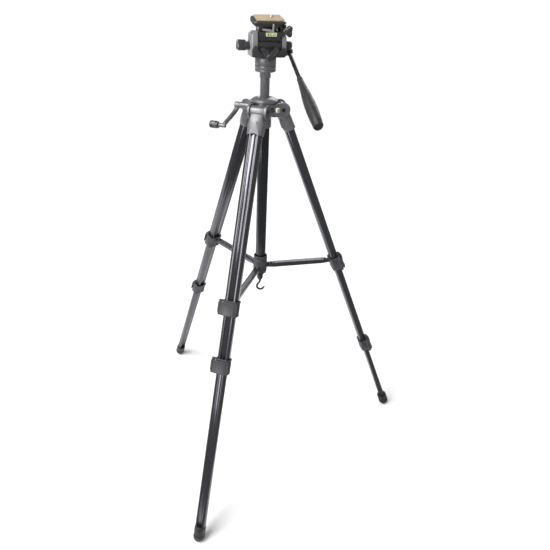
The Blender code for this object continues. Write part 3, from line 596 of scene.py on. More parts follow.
def spider_casting():
    """Drum with three pairs of knuckle ears, webs between them, the crank boss and the level's shelf."""
    adds = [turned([(16.4, -43), (17, -42.2), (17, -12)])]
    cuts = []
    ear = arc((-PIVOT_RADIUS, 0), 16, 90, 270, 32) + [(-14, -16), (-14, 12)]
    web = [(-13.5, -34), (13.5, -34), (4, -20), (-4, -20)]
    for azimuth in LEG_AZIMUTHS.values():
        around = about("Z", azimuth)
        for side in (-1, 1):
            adds.append(moved(prism(ear, 17.4 * side, 22.4 * side, "X"), around))
            dish = turned([(12.6, 21.3 * side), (12.6, 30 * side), (5.6, 30 * side), (5.6, 21.3 * side)],
                          48, "X", True, (-PIVOT_RADIUS, 0))
            cuts.append(moved(dish, around))
        adds.append(moved(rod(4, -19, 19, "X", (-PIVOT_RADIUS, 0)), around))
        adds.append(moved(prism(web, -9, 13), about("Z", azimuth + 60)))
    adds.append(turned([(9.5, -26), (9, -29), (7.5, -31), (7.5, -51.7)][::-1], 48, "X",
                       centre=(SHAFT_Y, SHAFT_Z)))
    shelf = prism([(-7, -30), (-7, -48), (-5, -50), (3, -50), (5, -48), (5, -30)], -4, -1.3)
    adds.append(moved(shelf, about("Z", 60)))
    cuts += [
        rod(COLUMN_OUTER + 0.4, -30, 20, sides=ROUND),
        rod(TUBE_OUTER + 0.3, -60, -14.7, sides=ROUND),
        box((-3.7, -13.2, -16), (3.7, -8, 20)),
        rod(6.5, -4.4, 4.4, "X", (SHAFT_Y, SHAFT_Z)),
        rod(2.9, -60, 10, "X", (SHAFT_Y, SHAFT_Z)),
    ]
    drum = turned([(24.5, -14), (26.5, -11), (26.5, 14.2)])
    return solid(drum, adds, cuts, bevel=0.7)


def spider_cap():
    """Domed collar: an upright band, a ring groove, and a dome up to the column."""
    dome = [(30.1, 14.6), (30.5, 15), (30.5, 18.6), (30.1, 19.2), (29.2, 19.3), (28.9, 19.8), (29.3, 20.3)]
    dome += [(28.2, 21.3), (26, 22.5), (23.2, 23.6), (20, 24.5), (17.4, 25.1), (15.6, 25.4), (14.8, 25.2)]
    cuts = [
        rod(COLUMN_OUTER + 0.4, 0, 30, sides=ROUND),
        box((-3.7, -13.2, 0), (3.7, -8, 30)),
    ]
    return solid(turned(dome, 96), cuts=cuts, bevel=0.15)


def weight_hook():
    """Flanged end plug with the J-shaped hook below it."""
    bend, wire = 9.1, 2.8
    centre = (1.5, -52)
    path = smooth_path([(0, 0, -26), (0, 0, -31), (0, 0, -35), (-3, 0, -41),
                        (-7, 0, -47), (centre[0] - bend, 0, centre[1])], 4)
    path = path[:-1] + [Vector((x, 0, z)) for x, z in arc(centre, bend, 180, 335, 28)]
    path.append(Vector((centre[0] + bend + 2.2, 0, centre[1] + 0.8)))
    radii = [wire] * (len(path) - 2) + [wire * 0.92, wire * 0.7]
    hook = moved(swept(path, radii, 24), about("Z", HOOK_TURN))
    plug = turned([(12.3, 14), (12.3, -0.3), (16.5, -0.4), (16.5, -3.5), (13, -4), (13, -6.5),
                   (8, -7), (8, -23), (5, -29)])
    collar = turned([(8.8, -11), (8.8, -13)], 48)
    nut = prism(circle(6.4, 6), -26.5, -22.5)
    return solid(plug, [collar, nut, hook], bevel=0.35)


def pipe(outer, inner, low, high):
    """A round tube with softened ends, standing on Z."""
    return turned([(outer - 0.2, high), (outer, high - 0.3), (outer, low + 0.3), (outer - 0.2, low),
                   (inner, low), (inner, high)], ring=True)


def build_spider():
    """Spider with its cap and screws, the centre tube, the weight hook and the round level."""
    body = "spider_body"
    show("spider_casting", spider_casting(), SPIDER, body, "grey_plastic", "spider")
    show("spider_dome", spider_cap(), SPIDER, body, "grey_plastic", "spider_cap")
    tube = pipe(TUBE_OUTER, TUBE_INNER, TUBE_BOTTOM, TUBE_TOP)
    show("centre_tube_shell", solid(tube, bevel=0), ROOT, body, "black_tube", "centre_tube")
    show("hook_and_plug", weight_hook(), TUBE_END, body, "steel", "weight_hook")

    level = SPIDER @ shift(39.3, -24, 10)
    cup = turned([(5.5, -10.9), (5.5, -6.2), (5.1, -5.8), (5.1, -5), (5.5, -4.6), (5.5, -2.4), (5.1, -1.6),
                  (4.3, -1.6), (4.3, -4)], 48)
    show("level_cup", solid(cup, bevel=0.1), level, body, "chrome", "bubble_level")
    dome = turned([(4.2, -3.8), (4.2, -1.5), (3.4, -0.9), (1.6, -0.6)], 40)
    show("level_window", solid(dome, bevel=0), level, body, "level")
    ring = turned([(1.9, -0.7), (2.1, -0.5), (2.3, -0.7), (2.1, -0.9)], 32, ring=True)
    show("level_target_ring", solid(ring, bevel=0), level, body, "black_plastic")
    web_screw = SPIDER @ about("Z", 60) @ shift(-8, -34, 5.8) @ about("X", 90)
    show("web_screw", screw_head(4.4, 2.2), web_screw, body, "black_plastic")
    head = screw_head(4.6, 1.3)
    for side, azimuth in LEG_AZIMUTHS.items():
        for hand, turn, outwards in (("near", 90, 22.3), ("far", -90, -22.3)):
            place = SPIDER @ about("Z", azimuth) @ shift(outwards, -PIVOT_RADIUS) @ about("Y", turn)
            show(f"axle_screw_{hand}_{side}", head, place, body, "steel")


# ---- legs

def tube_mesh(size, low, high):
    """An open leg tube with softened ends."""
    outer = tube_outline(size, groove=TUBE_GROOVE)
    edge = tube_outline(size, inset=0.25, groove=TUBE_GROOVE)
    inner = tube_outline(size, inset=TUBE_WALL, crown=0.9)
    loops = [
        loop_at(edge, high), loop_at(outer, high - 0.3), loop_at(outer, low + 0.3), loop_at(edge, low),
        loop_at(inner, low), loop_at(inner, high),
    ]
    return solid(lofted(loops, True), bevel=0)


def enlarged(size, gap):
    """Outline of a tube with room round it."""
    width, depth, radius = size
    return rounded_rect(width + 2 * gap, depth + 2 * gap, radius + gap)


def bracket_mesh():
    """Top fitting of a leg: knuckle, faceted shoulders, and a socket with a pointed lower edge."""
    stages = [
        (33.8, 21, 5, -3), (33.8, 25, 6, -17), (40.5, 26.5, 9, -25.5),
        (40, 26.5, 9.5, -42), (37.6, 26.2, 9, -53),
    ]
    loops = [loop_at(rounded_rect(width, depth, radius, 2), z) for width, depth, radius, z in stages]
    knuckle = rod(13, -16.9, 16.9, "X", sides=ROUND)
    ribs = [box((x - 1.1, 12.4, -48), (x + 1.1, 14.6, -20)) for x in (-9, 9)]
    cuts = [
        rod(4.4, -30, 30, "X"),
        prism(enlarged(UPPER_TUBE, 0.3), -70, -33.5),
        prism([(-30, -53.6), (-30, -70), (30, -70), (30, -53.6), (10, -51.6), (0, -48.5), (-10, -51.6)],
              -30, 30, "Y"),
    ]
    panel = prism([(0, -19), (-13, -52), (13, -52)], -14.3, -11, "Y")
    return solid(lofted(loops), [knuckle, panel, *ribs], cuts, bevel=0.7)


def lock_mesh(size, upper, lower, lug_height=None):
    """Flip-lock collar: ribbed sleeve with hinge ears, a clamp slot and, on lock one, the brace lug."""
    width, depth = size[:2]
    top, below = LOCK_ABOVE, LOCK_BELOW
    rim = 3.2
    step = -LOCK_INSERT - 1
    profile = [
        (0.8, top), (0.2, top - 0.5), (0, top - 1.2), (0, top - rim), (0.9, top - rim - 0.5),
        (0.9, rim + 0.5 - below), (0, rim - below), (0, 1.2 - below), (0.2, 0.5 - below), (0.8, -below),
    ]
    loops = [loop_at(enlarged(size, -inset), z) for inset, z in profile]
    for tube, z in ((lower, -below), (lower, step), (upper, step), (upper, top)):
        loops.append(loop_at(enlarged(tube, FIT_GAP), z))
    inset = (LOCK_ONE[0] - width) / 2
    hinge = (LEVER_HINGE[0] + inset, LEVER_HINGE[1])
    ear = [(2.5 - width / 2, hinge[1] + 4.2)] + arc(hinge, 4.2, 90, 270, 16)
    ear.append((2.5 - width / 2, hinge[1] - 3))
    adds = [prism(ear, low, low + 3.6) for low in (-below, top - 3.6)]
    adds.append(rod(1.5, 1.2 - below, top - 1.2, centre=hinge, sides=24))
    for z in (-7, 0, 7):
        adds.append(box((4, depth / 2 - 2, z - 1), (width / 2 - 7, depth / 2 - 0.1, z + 1)))
        adds.append(box((7 - width / 2, depth / 2 - 2, z - 1), (-4, depth / 2 - 0.1, z + 1)))
    adds.append(box((width / 2 - 2, -5, -13), (width / 2, 5, 13)))
    cuts = [box((-width / 2 - 3, 5, 2 - below), (-width / 2 + 3, 6.2, top + 2))]
    if lug_height is not None:
        pin = (BRACE_PIN_OFFSET, lug_height)
        root_y = depth / 2 - 2
        outline = [(root_y, top - 0.5)] + arc(pin, 5, 100, -60, 20) + [(root_y, top - 15)]
        adds.append(prism(outline, -TONGUE_HALF, TONGUE_HALF, "X"))
        cuts.append(rod(2.4, -5, 5, "X", pin, 24))
    return solid(lofted(loops, True), adds, cuts, bevel=0.35)


def lever_mesh(inset):
    """Flip lever: a curved panel with a raised frame, a curled hinge edge and a finger notch."""
    left, right = -28 + inset, 19.5 - inset
    thickness = 3.4
    samples = 28

    def face(x):
        """Depth of the panel's curved face."""
        return inset - 22.5 + 5.5 * ((x + 4) / 24) ** 2

    def strip(start, end, outer, inner):
        """Outline that follows the panel's curve between two depths."""
        xs = [start + (end - start) * index / samples for index in range(samples + 1)]
        return [(x, face(x) + outer) for x in xs] + [(x, face(x) + inner) for x in reversed(xs)]

    hinge = (LEVER_HINGE[0] + inset, LEVER_HINGE[1])
    low, high = LEVER_SPAN
    height, level = high - low, (high + low) / 2
    panel_edge = rounded_rect(right - left, height, 3.5, 6, centre=((left + right) / 2, level))
    panel = combine(
        prism(strip(left, right, 0, thickness), low - 1, high + 1), keeps=[prism(panel_edge, -60, 0, "Y")])
    window_left, window_right = left + 4.4, right - 3.4
    window_edge = rounded_rect(window_right - window_left, height - 5.4, 2.6, 6,
                               centre=((window_left + window_right) / 2, level))
    window = combine(
        prism(strip(window_left - 1, window_right + 1, -2, 1.5), low, high),
        keeps=[prism(window_edge, -60, 0, "Y")])
    ridge = prism(strip(right - 7.6, right - 5.6, 0.1, 2), low + 4.4, high - 4.4)
    foot, head = BARREL_SPAN
    web = box((hinge[0] - 3, inset - 17, foot), (hinge[0] + 3, hinge[1] - 2, head))
    barrel = rod(4.1, foot, head, centre=hinge, sides=40)
    cuts = [
        window,
        rod(1.9, -30, 30, centre=hinge, sides=24),
        box((left - 2, inset - 26, low - 2), (left + 3.4, hinge[1] + 6, low + 4.2)),
    ]
    mesh = solid(combine(panel, [barrel, web], cuts), [ridge], bevel=0.45)
    mesh.transform(Matrix.Translation(Vector((-hinge[0], -hinge[1], 0)) * MM))
    return mesh


def foot_mesh():
    """Rubber ball foot with two tread rings, in a ribbed sleeve on the tube's end."""
    flat = math.sqrt(FOOT_RADIUS ** 2 - FOOT_HEIGHT ** 2)
    profile = [(flat, -FOOT_HEIGHT)]
    for latitude in range(-66, 31, 6):
        radius = FOOT_RADIUS - (0.5 if latitude in (-42, -18, 6) else 0)
        angle = math.radians(latitude)
        profile.append((radius * math.cos(angle), radius * math.sin(angle)))
    ball = moved(turned(profile, 48), about("X", SPLAY))
    sleeve = turned([(12, 3), (13.4, 8), (14.4, 9.2), (14.4, 12.6), (13.8, 13.2), (13.8, 15), (14.4, 15.6),
                     (14.4, 26.4), (13.6, 28.5)], 48)
    socket = prism(enlarged(LOWER_TUBE, 0.3), 12, 40)
    ribs = []
    for step in range(12):
        rib = box((13.6, -0.8, 17), (14.7, 0.8, 25.4))
        ribs.append(moved(rib, about("Z", 30 * step)))
    return solid(ball, [sleeve, *ribs], [socket], bevel=0.35)


def brace_places():
    """Height of the brace pin above lock one's centre, and the pin-to-pin length of a brace."""
    splay = math.radians(SPLAY)
    drop = PIVOT_HEIGHT - BRACE_HEIGHT
    down = (drop - BRACE_PIN_OFFSET * math.sin(splay)) / math.cos(splay)
    radius = PIVOT_RADIUS + down * math.sin(splay) - BRACE_PIN_OFFSET * math.cos(splay)
    return LOCK_ONE_DOWN - down, radius - HUB_PIN_RADIUS


def build_legs():
    """Every leg: bracket, three tubes, two locks with their levers, and the foot."""
    inset = (LOCK_ONE[0] - LOCK_TWO[0]) / 2
    bracket = bracket_mesh()
    upper = tube_mesh(UPPER_TUBE, -LOCK_ONE_DOWN - LOCK_INSERT, -UPPER_TUBE_TOP)
    middle = tube_mesh(MIDDLE_TUBE, -LOCK_INSERT, MIDDLE_LENGTH)
    lower = tube_mesh(LOWER_TUBE, 12.6, LOWER_LENGTH)
    foot = foot_mesh()
    lock_one = lock_mesh(LOCK_ONE, UPPER_TUBE, MIDDLE_TUBE, brace_places()[0])
    lock_two = lock_mesh(LOCK_TWO, MIDDLE_TUBE, LOWER_TUBE)
    lever_one = lever_mesh(0)
    lever_two = lever_mesh(inset)
    hinge_one = shift(*LEVER_HINGE)
    hinge_two = shift(LEVER_HINGE[0] + inset, LEVER_HINGE[1])
    for side in LEG_AZIMUTHS:
        leg = leg_place(side)
        knee = leg @ shift(z=-LOCK_ONE_DOWN)
        section = knee @ shift(z=-MIDDLE_OUT[side])
        end = leg @ shift(z=-FOOT_DOWN)
        for name, mesh, place, body, finish, node in (
            ("bracket", bracket, leg, "leg", "grey_plastic", "leg_bracket"),
            ("tube_upper", upper, leg, "leg", "leg_tube", "upper_tube"),
            ("lock_upper", lock_one, knee, "leg", "dark_plastic", "upper_lock"),
            ("lever_upper", lever_one, knee @ hinge_one, "upper_lever", "dark_plastic", "upper_lever"),
            ("tube_middle", middle, section, "middle_section", "leg_tube", "middle_tube"),
            ("lock_lower", lock_two, section, "middle_section", "dark_plastic", "lower_lock"),
            ("lever_lower", lever_two, section @ hinge_two, "lower_lever", "dark_plastic", "lower_lever"),
            ("tube_lower", lower, end, "lower_section", "leg_tube", "lower_tube"),
            ("rubber_foot", foot, end, "lower_section", "grip_rubber", "foot"),
        ):
            show(f"{name}_{side}", mesh, place, f"{body}_{side}", finish, f"{node}_{side}")


# ---- hub and braces

def hub_mesh():
    """Sleeve that slides on the centre tube: a ribbed barrel with a split rim and three tongues."""
    profile = [(16.6, 32), (17.6, 31.2), (18, 30), (18, 24.5), (17.2, 23.9), (17.2, 22.6), (18, 22),
               (18, 9), (17.2, 8.4), (17.2, -8.4), (18, -9), (18, -14.5), (16.8, -16),
               (14.1, -16), (14.1, 24), (15.6, 24.5), (15.6, 32)]
    adds, cuts = [], []
    for azimuth in LEG_AZIMUTHS.values():
        around = about("Z", azimuth)
        pin = (-HUB_PIN_RADIUS, 0)
        outline = [(-16, -8), (-16, 8)] + arc(pin, 5, 80, 280, 24)
        adds.append(moved(prism(outline, -TONGUE_HALF, TONGUE_HALF, "X"), around))
        adds.append(moved(box((-1.6, 16, -14), (1.6, 18.9, 21)), around))
        cuts.append(moved(rod(2.4, -5, 5, "X", pin, 24), around))
        cuts.append(moved(box((-1, -22, 24.6), (1, -10, 40)), around))
    return solid(turned(profile, ring=True), adds, cuts, bevel=0.4)


def brace_mesh(length):
    """Pressed channel from the hub's pin to the leg's pin, with open forks, slots and rivets."""
    half, width, wall = BRACE_DEPTH / 2, BRACE_WIDTH / 2, 1.3
    outline = arc((0, 0), 5, 110, -110, 20) + [(-12, -half), (12 - length, -half)]
    outline += arc((-length, 0), 5, -70, -290, 20) + [(12 - length, half), (-12, half)]
    rail = prism(outline, -width, width, "X")
    cuts = [box((wall - width, -length - 10, -half - 2), (width - wall, 10, half - wall))]
    for start, end in ((-6.5, 10), (-length - 10, 6.5 - length)):
        cuts.append(box((-TONGUE_HALF - 0.6, start, 0), (TONGUE_HALF + 0.6, end, half + 2)))
    cuts.append(box((-0.8, 17 - length, half - 0.6), (0.8, -17, half + 2)))
    for centre in (-14, 14 - length):
        slot = rounded_rect(4, 4.6, 1.9, 6, centre=(0, centre))
        cuts.append(prism(slot, 0, half + 2))
    rivets = []
    for centre in (0, -length):
        rivets.append(turned([(2, 0.6 - width), (2, width - 0.6)], 24, "X", centre=(centre, 0)))
        for side in (-1, 1):
            head = [(2.6, side * (width - 0.2)), (2.6, side * (width + 0.5)), (1.5, side * (width + 0.95))]
            rivets.append(turned(head, 28, "X", centre=(centre, 0)))
    return solid(combine(rail, cuts=cuts), rivets, bevel=0.3)


def build_braces():
    """The hub on the centre tube and one whole brace to each leg."""
    show("hub_barrel", hub_mesh(), HUB, "hub", "dark_plastic", "brace_hub")
    brace = brace_mesh(brace_places()[1])
    for side, azimuth in LEG_AZIMUTHS.items():
        arm = HUB @ about("Z", azimuth) @ shift(y=-HUB_PIN_RADIUS)
        show(f"brace_{side}", brace, arm, f"brace_inner_{side}", "leg_tube",
             f"brace_inner_{side}", f"brace_outer_{side}")


# ---- column and crank

def column_mesh():
    """Sliding column with the rack of teeth in its slot."""
    tube = pipe(COLUMN_OUTER, COLUMN_INNER, COLUMN_BOTTOM, COLUMN_TOP)
    root_y, tip_y, tooth = -10.8, -12.3, 0.95
    outline = []
    for index in range(-RACK_BELOW, RACK_ABOVE + 1):
        z = PIVOT_HEIGHT + SHAFT_Z + (index + 0.5) * RACK_PITCH
        outline += [(root_y, z - tooth), (tip_y + 0.1, z - 0.3), (tip_y + 0.1, z + 0.3), (root_y, z + tooth)]
    top = outline[-1][1] + 2
    bottom = outline[0][1] - 2
    outline += [(root_y, top), (-10, top), (-10, bottom), (root_y, bottom)]
    return solid(tube, [prism(outline, -3, 3, "X")], bevel=0)


def crank_channel(radius, side):
    """A bar along the crank arm, beside its middle."""
    path = smooth_path([(-63.5, side, -13), (-74, side, -27.5), (-86, side, -42.5)])
    return swept(path, [radius] * len(path), 16)


def crank_mesh():
    """Crank arm: a capped hub, an arm with a channel along it, and the neck with the knob's spindle."""
    hub = turned([(5.2, CRANK_HUB_END), (6.6, CRANK_HUB_END + 0.4), (7.4, CRANK_HUB_END + 1.6), (7.4, -54.6),
                  (6.9, -54.2), (6.9, -53.4), (7.4, -53), (7.4, -52.1)], 48, "X")
    spine = smooth_path([(-59, 0, -1), (-63, 0, -11), (-74, 0, -27), (-88, 0, -44), (-91, 0, -50)])
    arm = swept(spine, [5.6 - index / (len(spine) - 1) for index in range(len(spine))])
    neck = turned([(4.2, -86), (5, -87.4), (5, CRANK_NECK_END + 2), (4.4, CRANK_NECK_END + 1.4),
                   (4.4, CRANK_NECK_END + 0.8), (5, CRANK_NECK_END + 0.4), (5, CRANK_NECK_END)], 40, "X",
                  centre=(0, -CRANK_THROW))
    spindle = rod(2.6, -118, -102, "X", (0, -CRANK_THROW), 24)
    cuts = [rod(2.8, -63, -40, "X", sides=24)]
    cuts += [crank_channel(2.7, side) for side in (-5.4, 5.4)]
    return solid(hub, [arm, neck, spindle], cuts, bevel=0.4)


def crank_knob_mesh():
    """Handle knob of the crank, with shallow flutes and a rounded end."""
    low, high = CRANK_KNOB_END, CRANK_NECK_END - 0.5
    profile = [(5.6, low), (7.4, low + 0.5), (8.4, low + 1.6), (8.75, low + 3), (8.75, high - 3.2),
               (8.2, high - 2.6), (8.2, high - 1.8), (8.5, high - 1.2), (7.6, high)]
    flutes = []
    for step in range(18):
        flute = rod(0.7, low + 3.4, high - 4.2, "X", (9, 0), 10)
        flutes.append(moved(flute, about("X", 20 * step)))
    return solid(turned(profile, 72, "X"), cuts=[rod(2.9, -118.5, -100, "X", sides=24), *flutes], bevel=0.15)


def pan_base_mesh():
    """Base of the head on the column: collar, two ring grooves and a rounded shoulder."""
    bottom = PAN_BASE_BOTTOM
    rim, top = bottom + 14, bottom + 44
    profile = [(12, bottom), (12.5, bottom + 0.8), (12.5, rim - 0.6), (13.4, rim), (22, rim)]
    profile += [(22.9, rim + 0.4), (23.5, rim + 1.4)]
    for groove in (rim + 5.4, rim + 13.9):
        profile += [(23.5, groove - 0.7), (22.2, groove - 0.5), (22.2, groove + 0.5), (23.5, groove + 0.7)]
    profile += [(23.5, top - 1.2), (23.1, top - 0.4), (22.3, top)]
    bore = rod(COLUMN_OUTER + 0.3, bottom - 5, COLUMN_TOP + 0.5, sides=ROUND)
    return solid(turned(profile, 96), cuts=[bore], bevel=0.2)


def build_column():
    """The sliding column, the base of the head, and the crank."""
    show("column_shell", column_mesh(), ROOT, "column", "column_tube", "column_tube")
    show("pan_base_ring", pan_base_mesh(), ROOT, "column", "grey_plastic", "pan_base")
    shaft_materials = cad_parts["pinion_shaft"].data.materials
    shaft_materials.clear()
    shaft_materials.append(FINISHES["steel"])
    show("crank_arm_cast", crank_mesh(), CRANK, "crank", "grey_plastic", "crank_arm")
    # Black strips in the arm's two grooves: painted shade standing in for the dark inside the grooves.
    for hand, side in (("near", -4), ("far", 4)):
        channel_shade_strip = solid(crank_channel(2.3, side), bevel=0)
        show(f"crank_channel_{hand}", channel_shade_strip, CRANK, "crank", "black_plastic")
    show("crank_handle", crank_knob_mesh(), CRANK_KNOB, "crank_knob", "black_plastic", "crank_knob")


# ---- head

def yoke_mesh():
    """Floor of the head, cupped under the drum, with a skirt in front and a post on the pan base."""
    left, right = DRUM_ENDS
    floor = prism(rounded_rect(right - left, 38, 6, centre=((left + right) / 2, 0)), -21.4, -5)
    skirt = [(-36.5, -19), (-36.5, -5), (-31, 2), (-27, 2.5), (-20, -10), (24, -10)]
    skirt += [(32, -2), (37, -2), (40.5, -8), (40.5, -17), (35, -21), (-33, -21)]
    adds = [
        rod(10, -22.4, -20, sides=48),
        prism(skirt, SKIRT_FRONT, -22.9, "Y"),
        box((-20, -24, -21.2), (28, -15, -10.5)),
        rod(2.6, -32, -24, "Y", (0, PAN_KNOB_Z), 24),
    ]
    for x in (-17, -8, 16, 25):
        adds.append(box((x - 1.2, 17, -20.4), (x + 1.2, 20, -9)))
    cup = rod(DRUM_RADIUS + 0.7, -50, 50, "X", sides=96)
    return solid(floor, adds, [cup], bevel=0.7)


def cheek_mesh(faces, crest, cuts=()):
    """Side plate of the head between two faces: a bevelled face and a boss; crest is its upper edge."""
    inner, outer = faces
    side = 1 if outer > inner else -1
    outline = [(-20, -21), (18, -21), (20.5, -16), (18.5, 8), *crest, (-22.2, -16)]
    bevel = [(y * 0.92, z * 0.94) for y, z in outline]
    sections = ((outline, inner), (outline, outer - 2.5 * side), (bevel, outer))
    loops = [loop_at(section, x, "X") for section, x in sections]
    boss = rod(13, inner + 2 * side, outer + 0.3 * side, "X", sides=ROUND)
    return solid(lofted(loops), [boss], [rod(5, -60, 60, "X", sides=48), *cuts], bevel=0.7)


def drum_mesh():
    """Tilting drum with its axle, the neck and block above it, and the lugs and pin of the flip hinge."""
    lug = [(26, 30), (30, 30)] + arc((FLIP_X, FLIP_Z), 4.5, -80, 90, 20) + [(26, 43)]
    adds = [
        box((-21.5, -18, 25), (30.5, 14, 34)),
        box((-21.5, -11, 6), (30.5, 11, 26)),
        rod(4.6, -42, 46, "X", sides=40),
        rod(3, -60, -40, "X", sides=32),
        rod(2.2, -30, 12, "Y", (FLIP_X, FLIP_Z), 24),
    ]
    adds += [prism(lug, low, high, "Y") for low, high in ((-18, -13), (9, 14))]
    low, high = DRUM_ENDS
    edge = DRUM_RADIUS - 0.8
    body = turned([(edge, low), (DRUM_RADIUS, low + 0.8), (DRUM_RADIUS, high - 0.8), (edge, high)], 96, "X")
    return solid(body, adds, bevel=0.6)


def handle_place():
    """Matrix whose local X runs down the handle from its socket, in the untilted head."""
    turn = Matrix(((0, 1, 0, 0), (-1, 0, 0, 0), (0, 0, 1, 0), (0, 0, 0, 1)))
    start = Matrix.Translation((HANDLE_X, *HANDLE_START))
    return start @ about("X", HANDLE_DROP) @ turn


def socket_mesh():
    """Boss on the end of the tilt axle, ringed, with the sleeve that holds the handle's rod."""
    start = CHEEK_RIGHT[1] + 0.6
    boss = turned([(9.5, start), (9.5, 45.5), (9, 46), (9, 47), (9.5, 47.5), (9.5, 55.5),
                   (9, 56.8), (7.6, 57.7), (6.6, 58), (6.2, 57.2), (3, 57.2)], ROUND, "X")
    place = handle_place()
    sleeve = turned([(6.4, -15.2), (6.9, -16), (8.2, -16), (9, -14.8), (9, 3.6), (8.6, 4), (8.6, 4.8),
                     (8.2, 6), (6.4, 6)], 48, "X")
    cuts = [rod(4.9, 30, 46.6, "X", sides=40), moved(rod(4.8, -10, 30, "X", sides=40), place)]
    return solid(boss, [moved(sleeve, place)], cuts, bevel=0.4)


def grip_mesh():
    """Swelling rubber grip with a ringed neck and a dished end."""
    profile = [(0, 5.6), (1, 6.2), (7, 6.5), (7.6, 6.1), (9, 6.1), (9.6, 6.6), (24, 7.4), (41, 8.8),
               (58, 10.6), (73, 11.7), (86, 12.3), (100, 12.6), (110, 12.6), (122, 12.2),
               (134, 11.6), (144.5, 10.9), (145.5, 10.3), (147.1, 10.3), (147.9, 10.8), (150.5, 10.5),
               (152.5, 9.4), (152.1, 7.6), (149.5, 7)]
    shape = turned([(radius, HANDLE_JUNCTION + along) for along, radius in profile], 72, "X")
    place = handle_place()
    bore = moved(rod(4.8, HANDLE_JUNCTION - 5, HANDLE_JUNCTION + 21, "X"), place)
    return solid(moved(shape, place), cuts=[bore], bevel=0.2)


def flip_frame_mesh():
    """Platform that carries the plate: a flared tray, its keel, and the barrel of the flip hinge."""
    wide = rounded_rect(71, 33, 5, centre=(-0.5, -1))
    narrow = rounded_rect(61, 30, 4, centre=(-0.3, -2))
    tray = lofted([loop_at(narrow, 44), loop_at(wide, 48), loop_at(wide, PLATE_LOW - 0.3)])
    adds = [
        box((-22.5, -14, 34.4), (18, 12, 46)),
        box((29, -12.6, 39), (FLIP_X, 8.6, 47)),
        rod(4.4, -12.6, 8.6, "Y", (FLIP_X, FLIP_Z)),
    ]
    cuts = [
        rod(2.6, -30, 30, "Y", (FLIP_X, FLIP_Z), 24),
        box((-13.4, -13.4, 48), (13.4, 13.4, 60)),
        box((RELEASE_X - 4, -30, 40), (RELEASE_X + 4, RELEASE_Y + 3.5, 52.4)),
    ]
    return solid(tray, adds, cuts, bevel=0.6)


def plate_mesh():
    """Quick-release plate with sloping edges round the cork and the block that locks into the platform."""
    width, depth, radius = PLATE_BASE
    base = rounded_rect(width, depth, radius, centre=PLATE_CENTRE)
    under = rounded_rect(width - 1, depth - 1, radius, centre=PLATE_CENTRE)
    face = rounded_rect(*PLATE_SIZE, centre=PLATE_CENTRE)
    loops = [
        loop_at(under, PLATE_LOW), loop_at(base, PLATE_LOW + 0.5), loop_at(base, PLATE_LOW + 1.5),
        loop_at(face, PLATE_TOP),
    ]
    block = box((-13, -13, 48.4), (13, 13, PLATE_LOW + 1))
    cuts = [
        rod(3.6, 40, 70, centre=SCREW_PLACE),
        rod(6.5, 45, 51.6, centre=SCREW_PLACE, sides=40),
    ]
    return solid(lofted(loops), [block], cuts, bevel=0.4)


def cork_mesh():
    """Cork pad on the plate, with a finely cut edge."""
    outline = rounded_rect(PLATE_SIZE[0] - 3, PLATE_SIZE[1] - 3, 3, centre=PLATE_CENTRE)
    bore = rod(3.6, 50, 70, centre=SCREW_PLACE)
    return solid(prism(outline, PLATE_TOP + 0.05, CORK_TOP), cuts=[bore], bevel=0.3)


def camera_screw_mesh():
    """Camera screw: slotted head below the plate and a threaded end above the cork."""
    profile = [(5.6, 49.2), (6, 49.6), (6, 51.2), (3.1, 51.2), (3.1, 59)]
    height = 59.3
    while height < 65:
        profile += [(3.15, height), (2.6, height + 0.64)]
        height += 1.27
    profile += [(2.7, 65.4), (2.1, 66)]
    slot = box((-9, -0.9, 48), (9, 0.9, 50.4))
    return solid(turned(profile, 40), cuts=[slot], bevel=0.1)


def wing_knob(grip, neck, hub, axis, bores=()):
    """A lobed knob on a neck: grip is (radius, lift, lobes, turn), neck and each bore (radius, low, high)."""
    radius, lift, lobes, turn = grip
    low, high = hub
    loops = []
    for inset, height in ((3.4, low), (1.2, low + 0.6), (0.3, low + 1.8), (0, low + 3.2), (0, high - 2.4),
                          (0.6, high - 1), (1.8, high)):
        loops.append(loop_at(lobed(radius - inset, lift, lobes, 96, turn, 0.35), height, axis))
    cuts = [rod(bore_radius, start, end, axis, sides=32) for bore_radius, start, end in bores]
    cuts.append(turned([(radius * 0.62, low - 1), (radius * 0.62, low + 0.7), (radius * 0.5, low + 0.7),
                        (radius * 0.5, low - 1)], 40, axis, True))
    return solid(lofted(loops), [rod(*neck, axis, sides=48)], cuts, bevel=0.3)


def pan_knob_mesh():
    """Wing knob that locks the pan: a ringed hub with two wings in a V."""
    back, front = SKIRT_FRONT - 2, SKIRT_FRONT - 13
    wing = [(0, 6)] + arc((21.5, 0), 4.6, 80, -80, 20) + [(0, -6)]
    hollow = [(11, 2.6)] + arc((20.5, 0), 2.2, 80, -80, 12) + [(11, -2.6)]
    adds = [rod(6, back - 1, SKIRT_FRONT - 0.3, "Y", sides=48)]
    cuts = [rod(2.9, SKIRT_FRONT - 7, SKIRT_FRONT + 5, "Y", sides=24)]
    for lean in (48, 132):
        stand = about("Y", -lean) @ about("X", 90)
        adds.append(moved(prism(wing, -back, -front - 1), stand))
        cuts.append(moved(prism(hollow, -front - 2.2, 5 - front), stand))
    hub = turned([(5, front), (6.6, front + 0.2), (7.5, front + 1.4), (7.5, back)], 48, "Y")
    return solid(hub, adds, cuts, bevel=0.5)


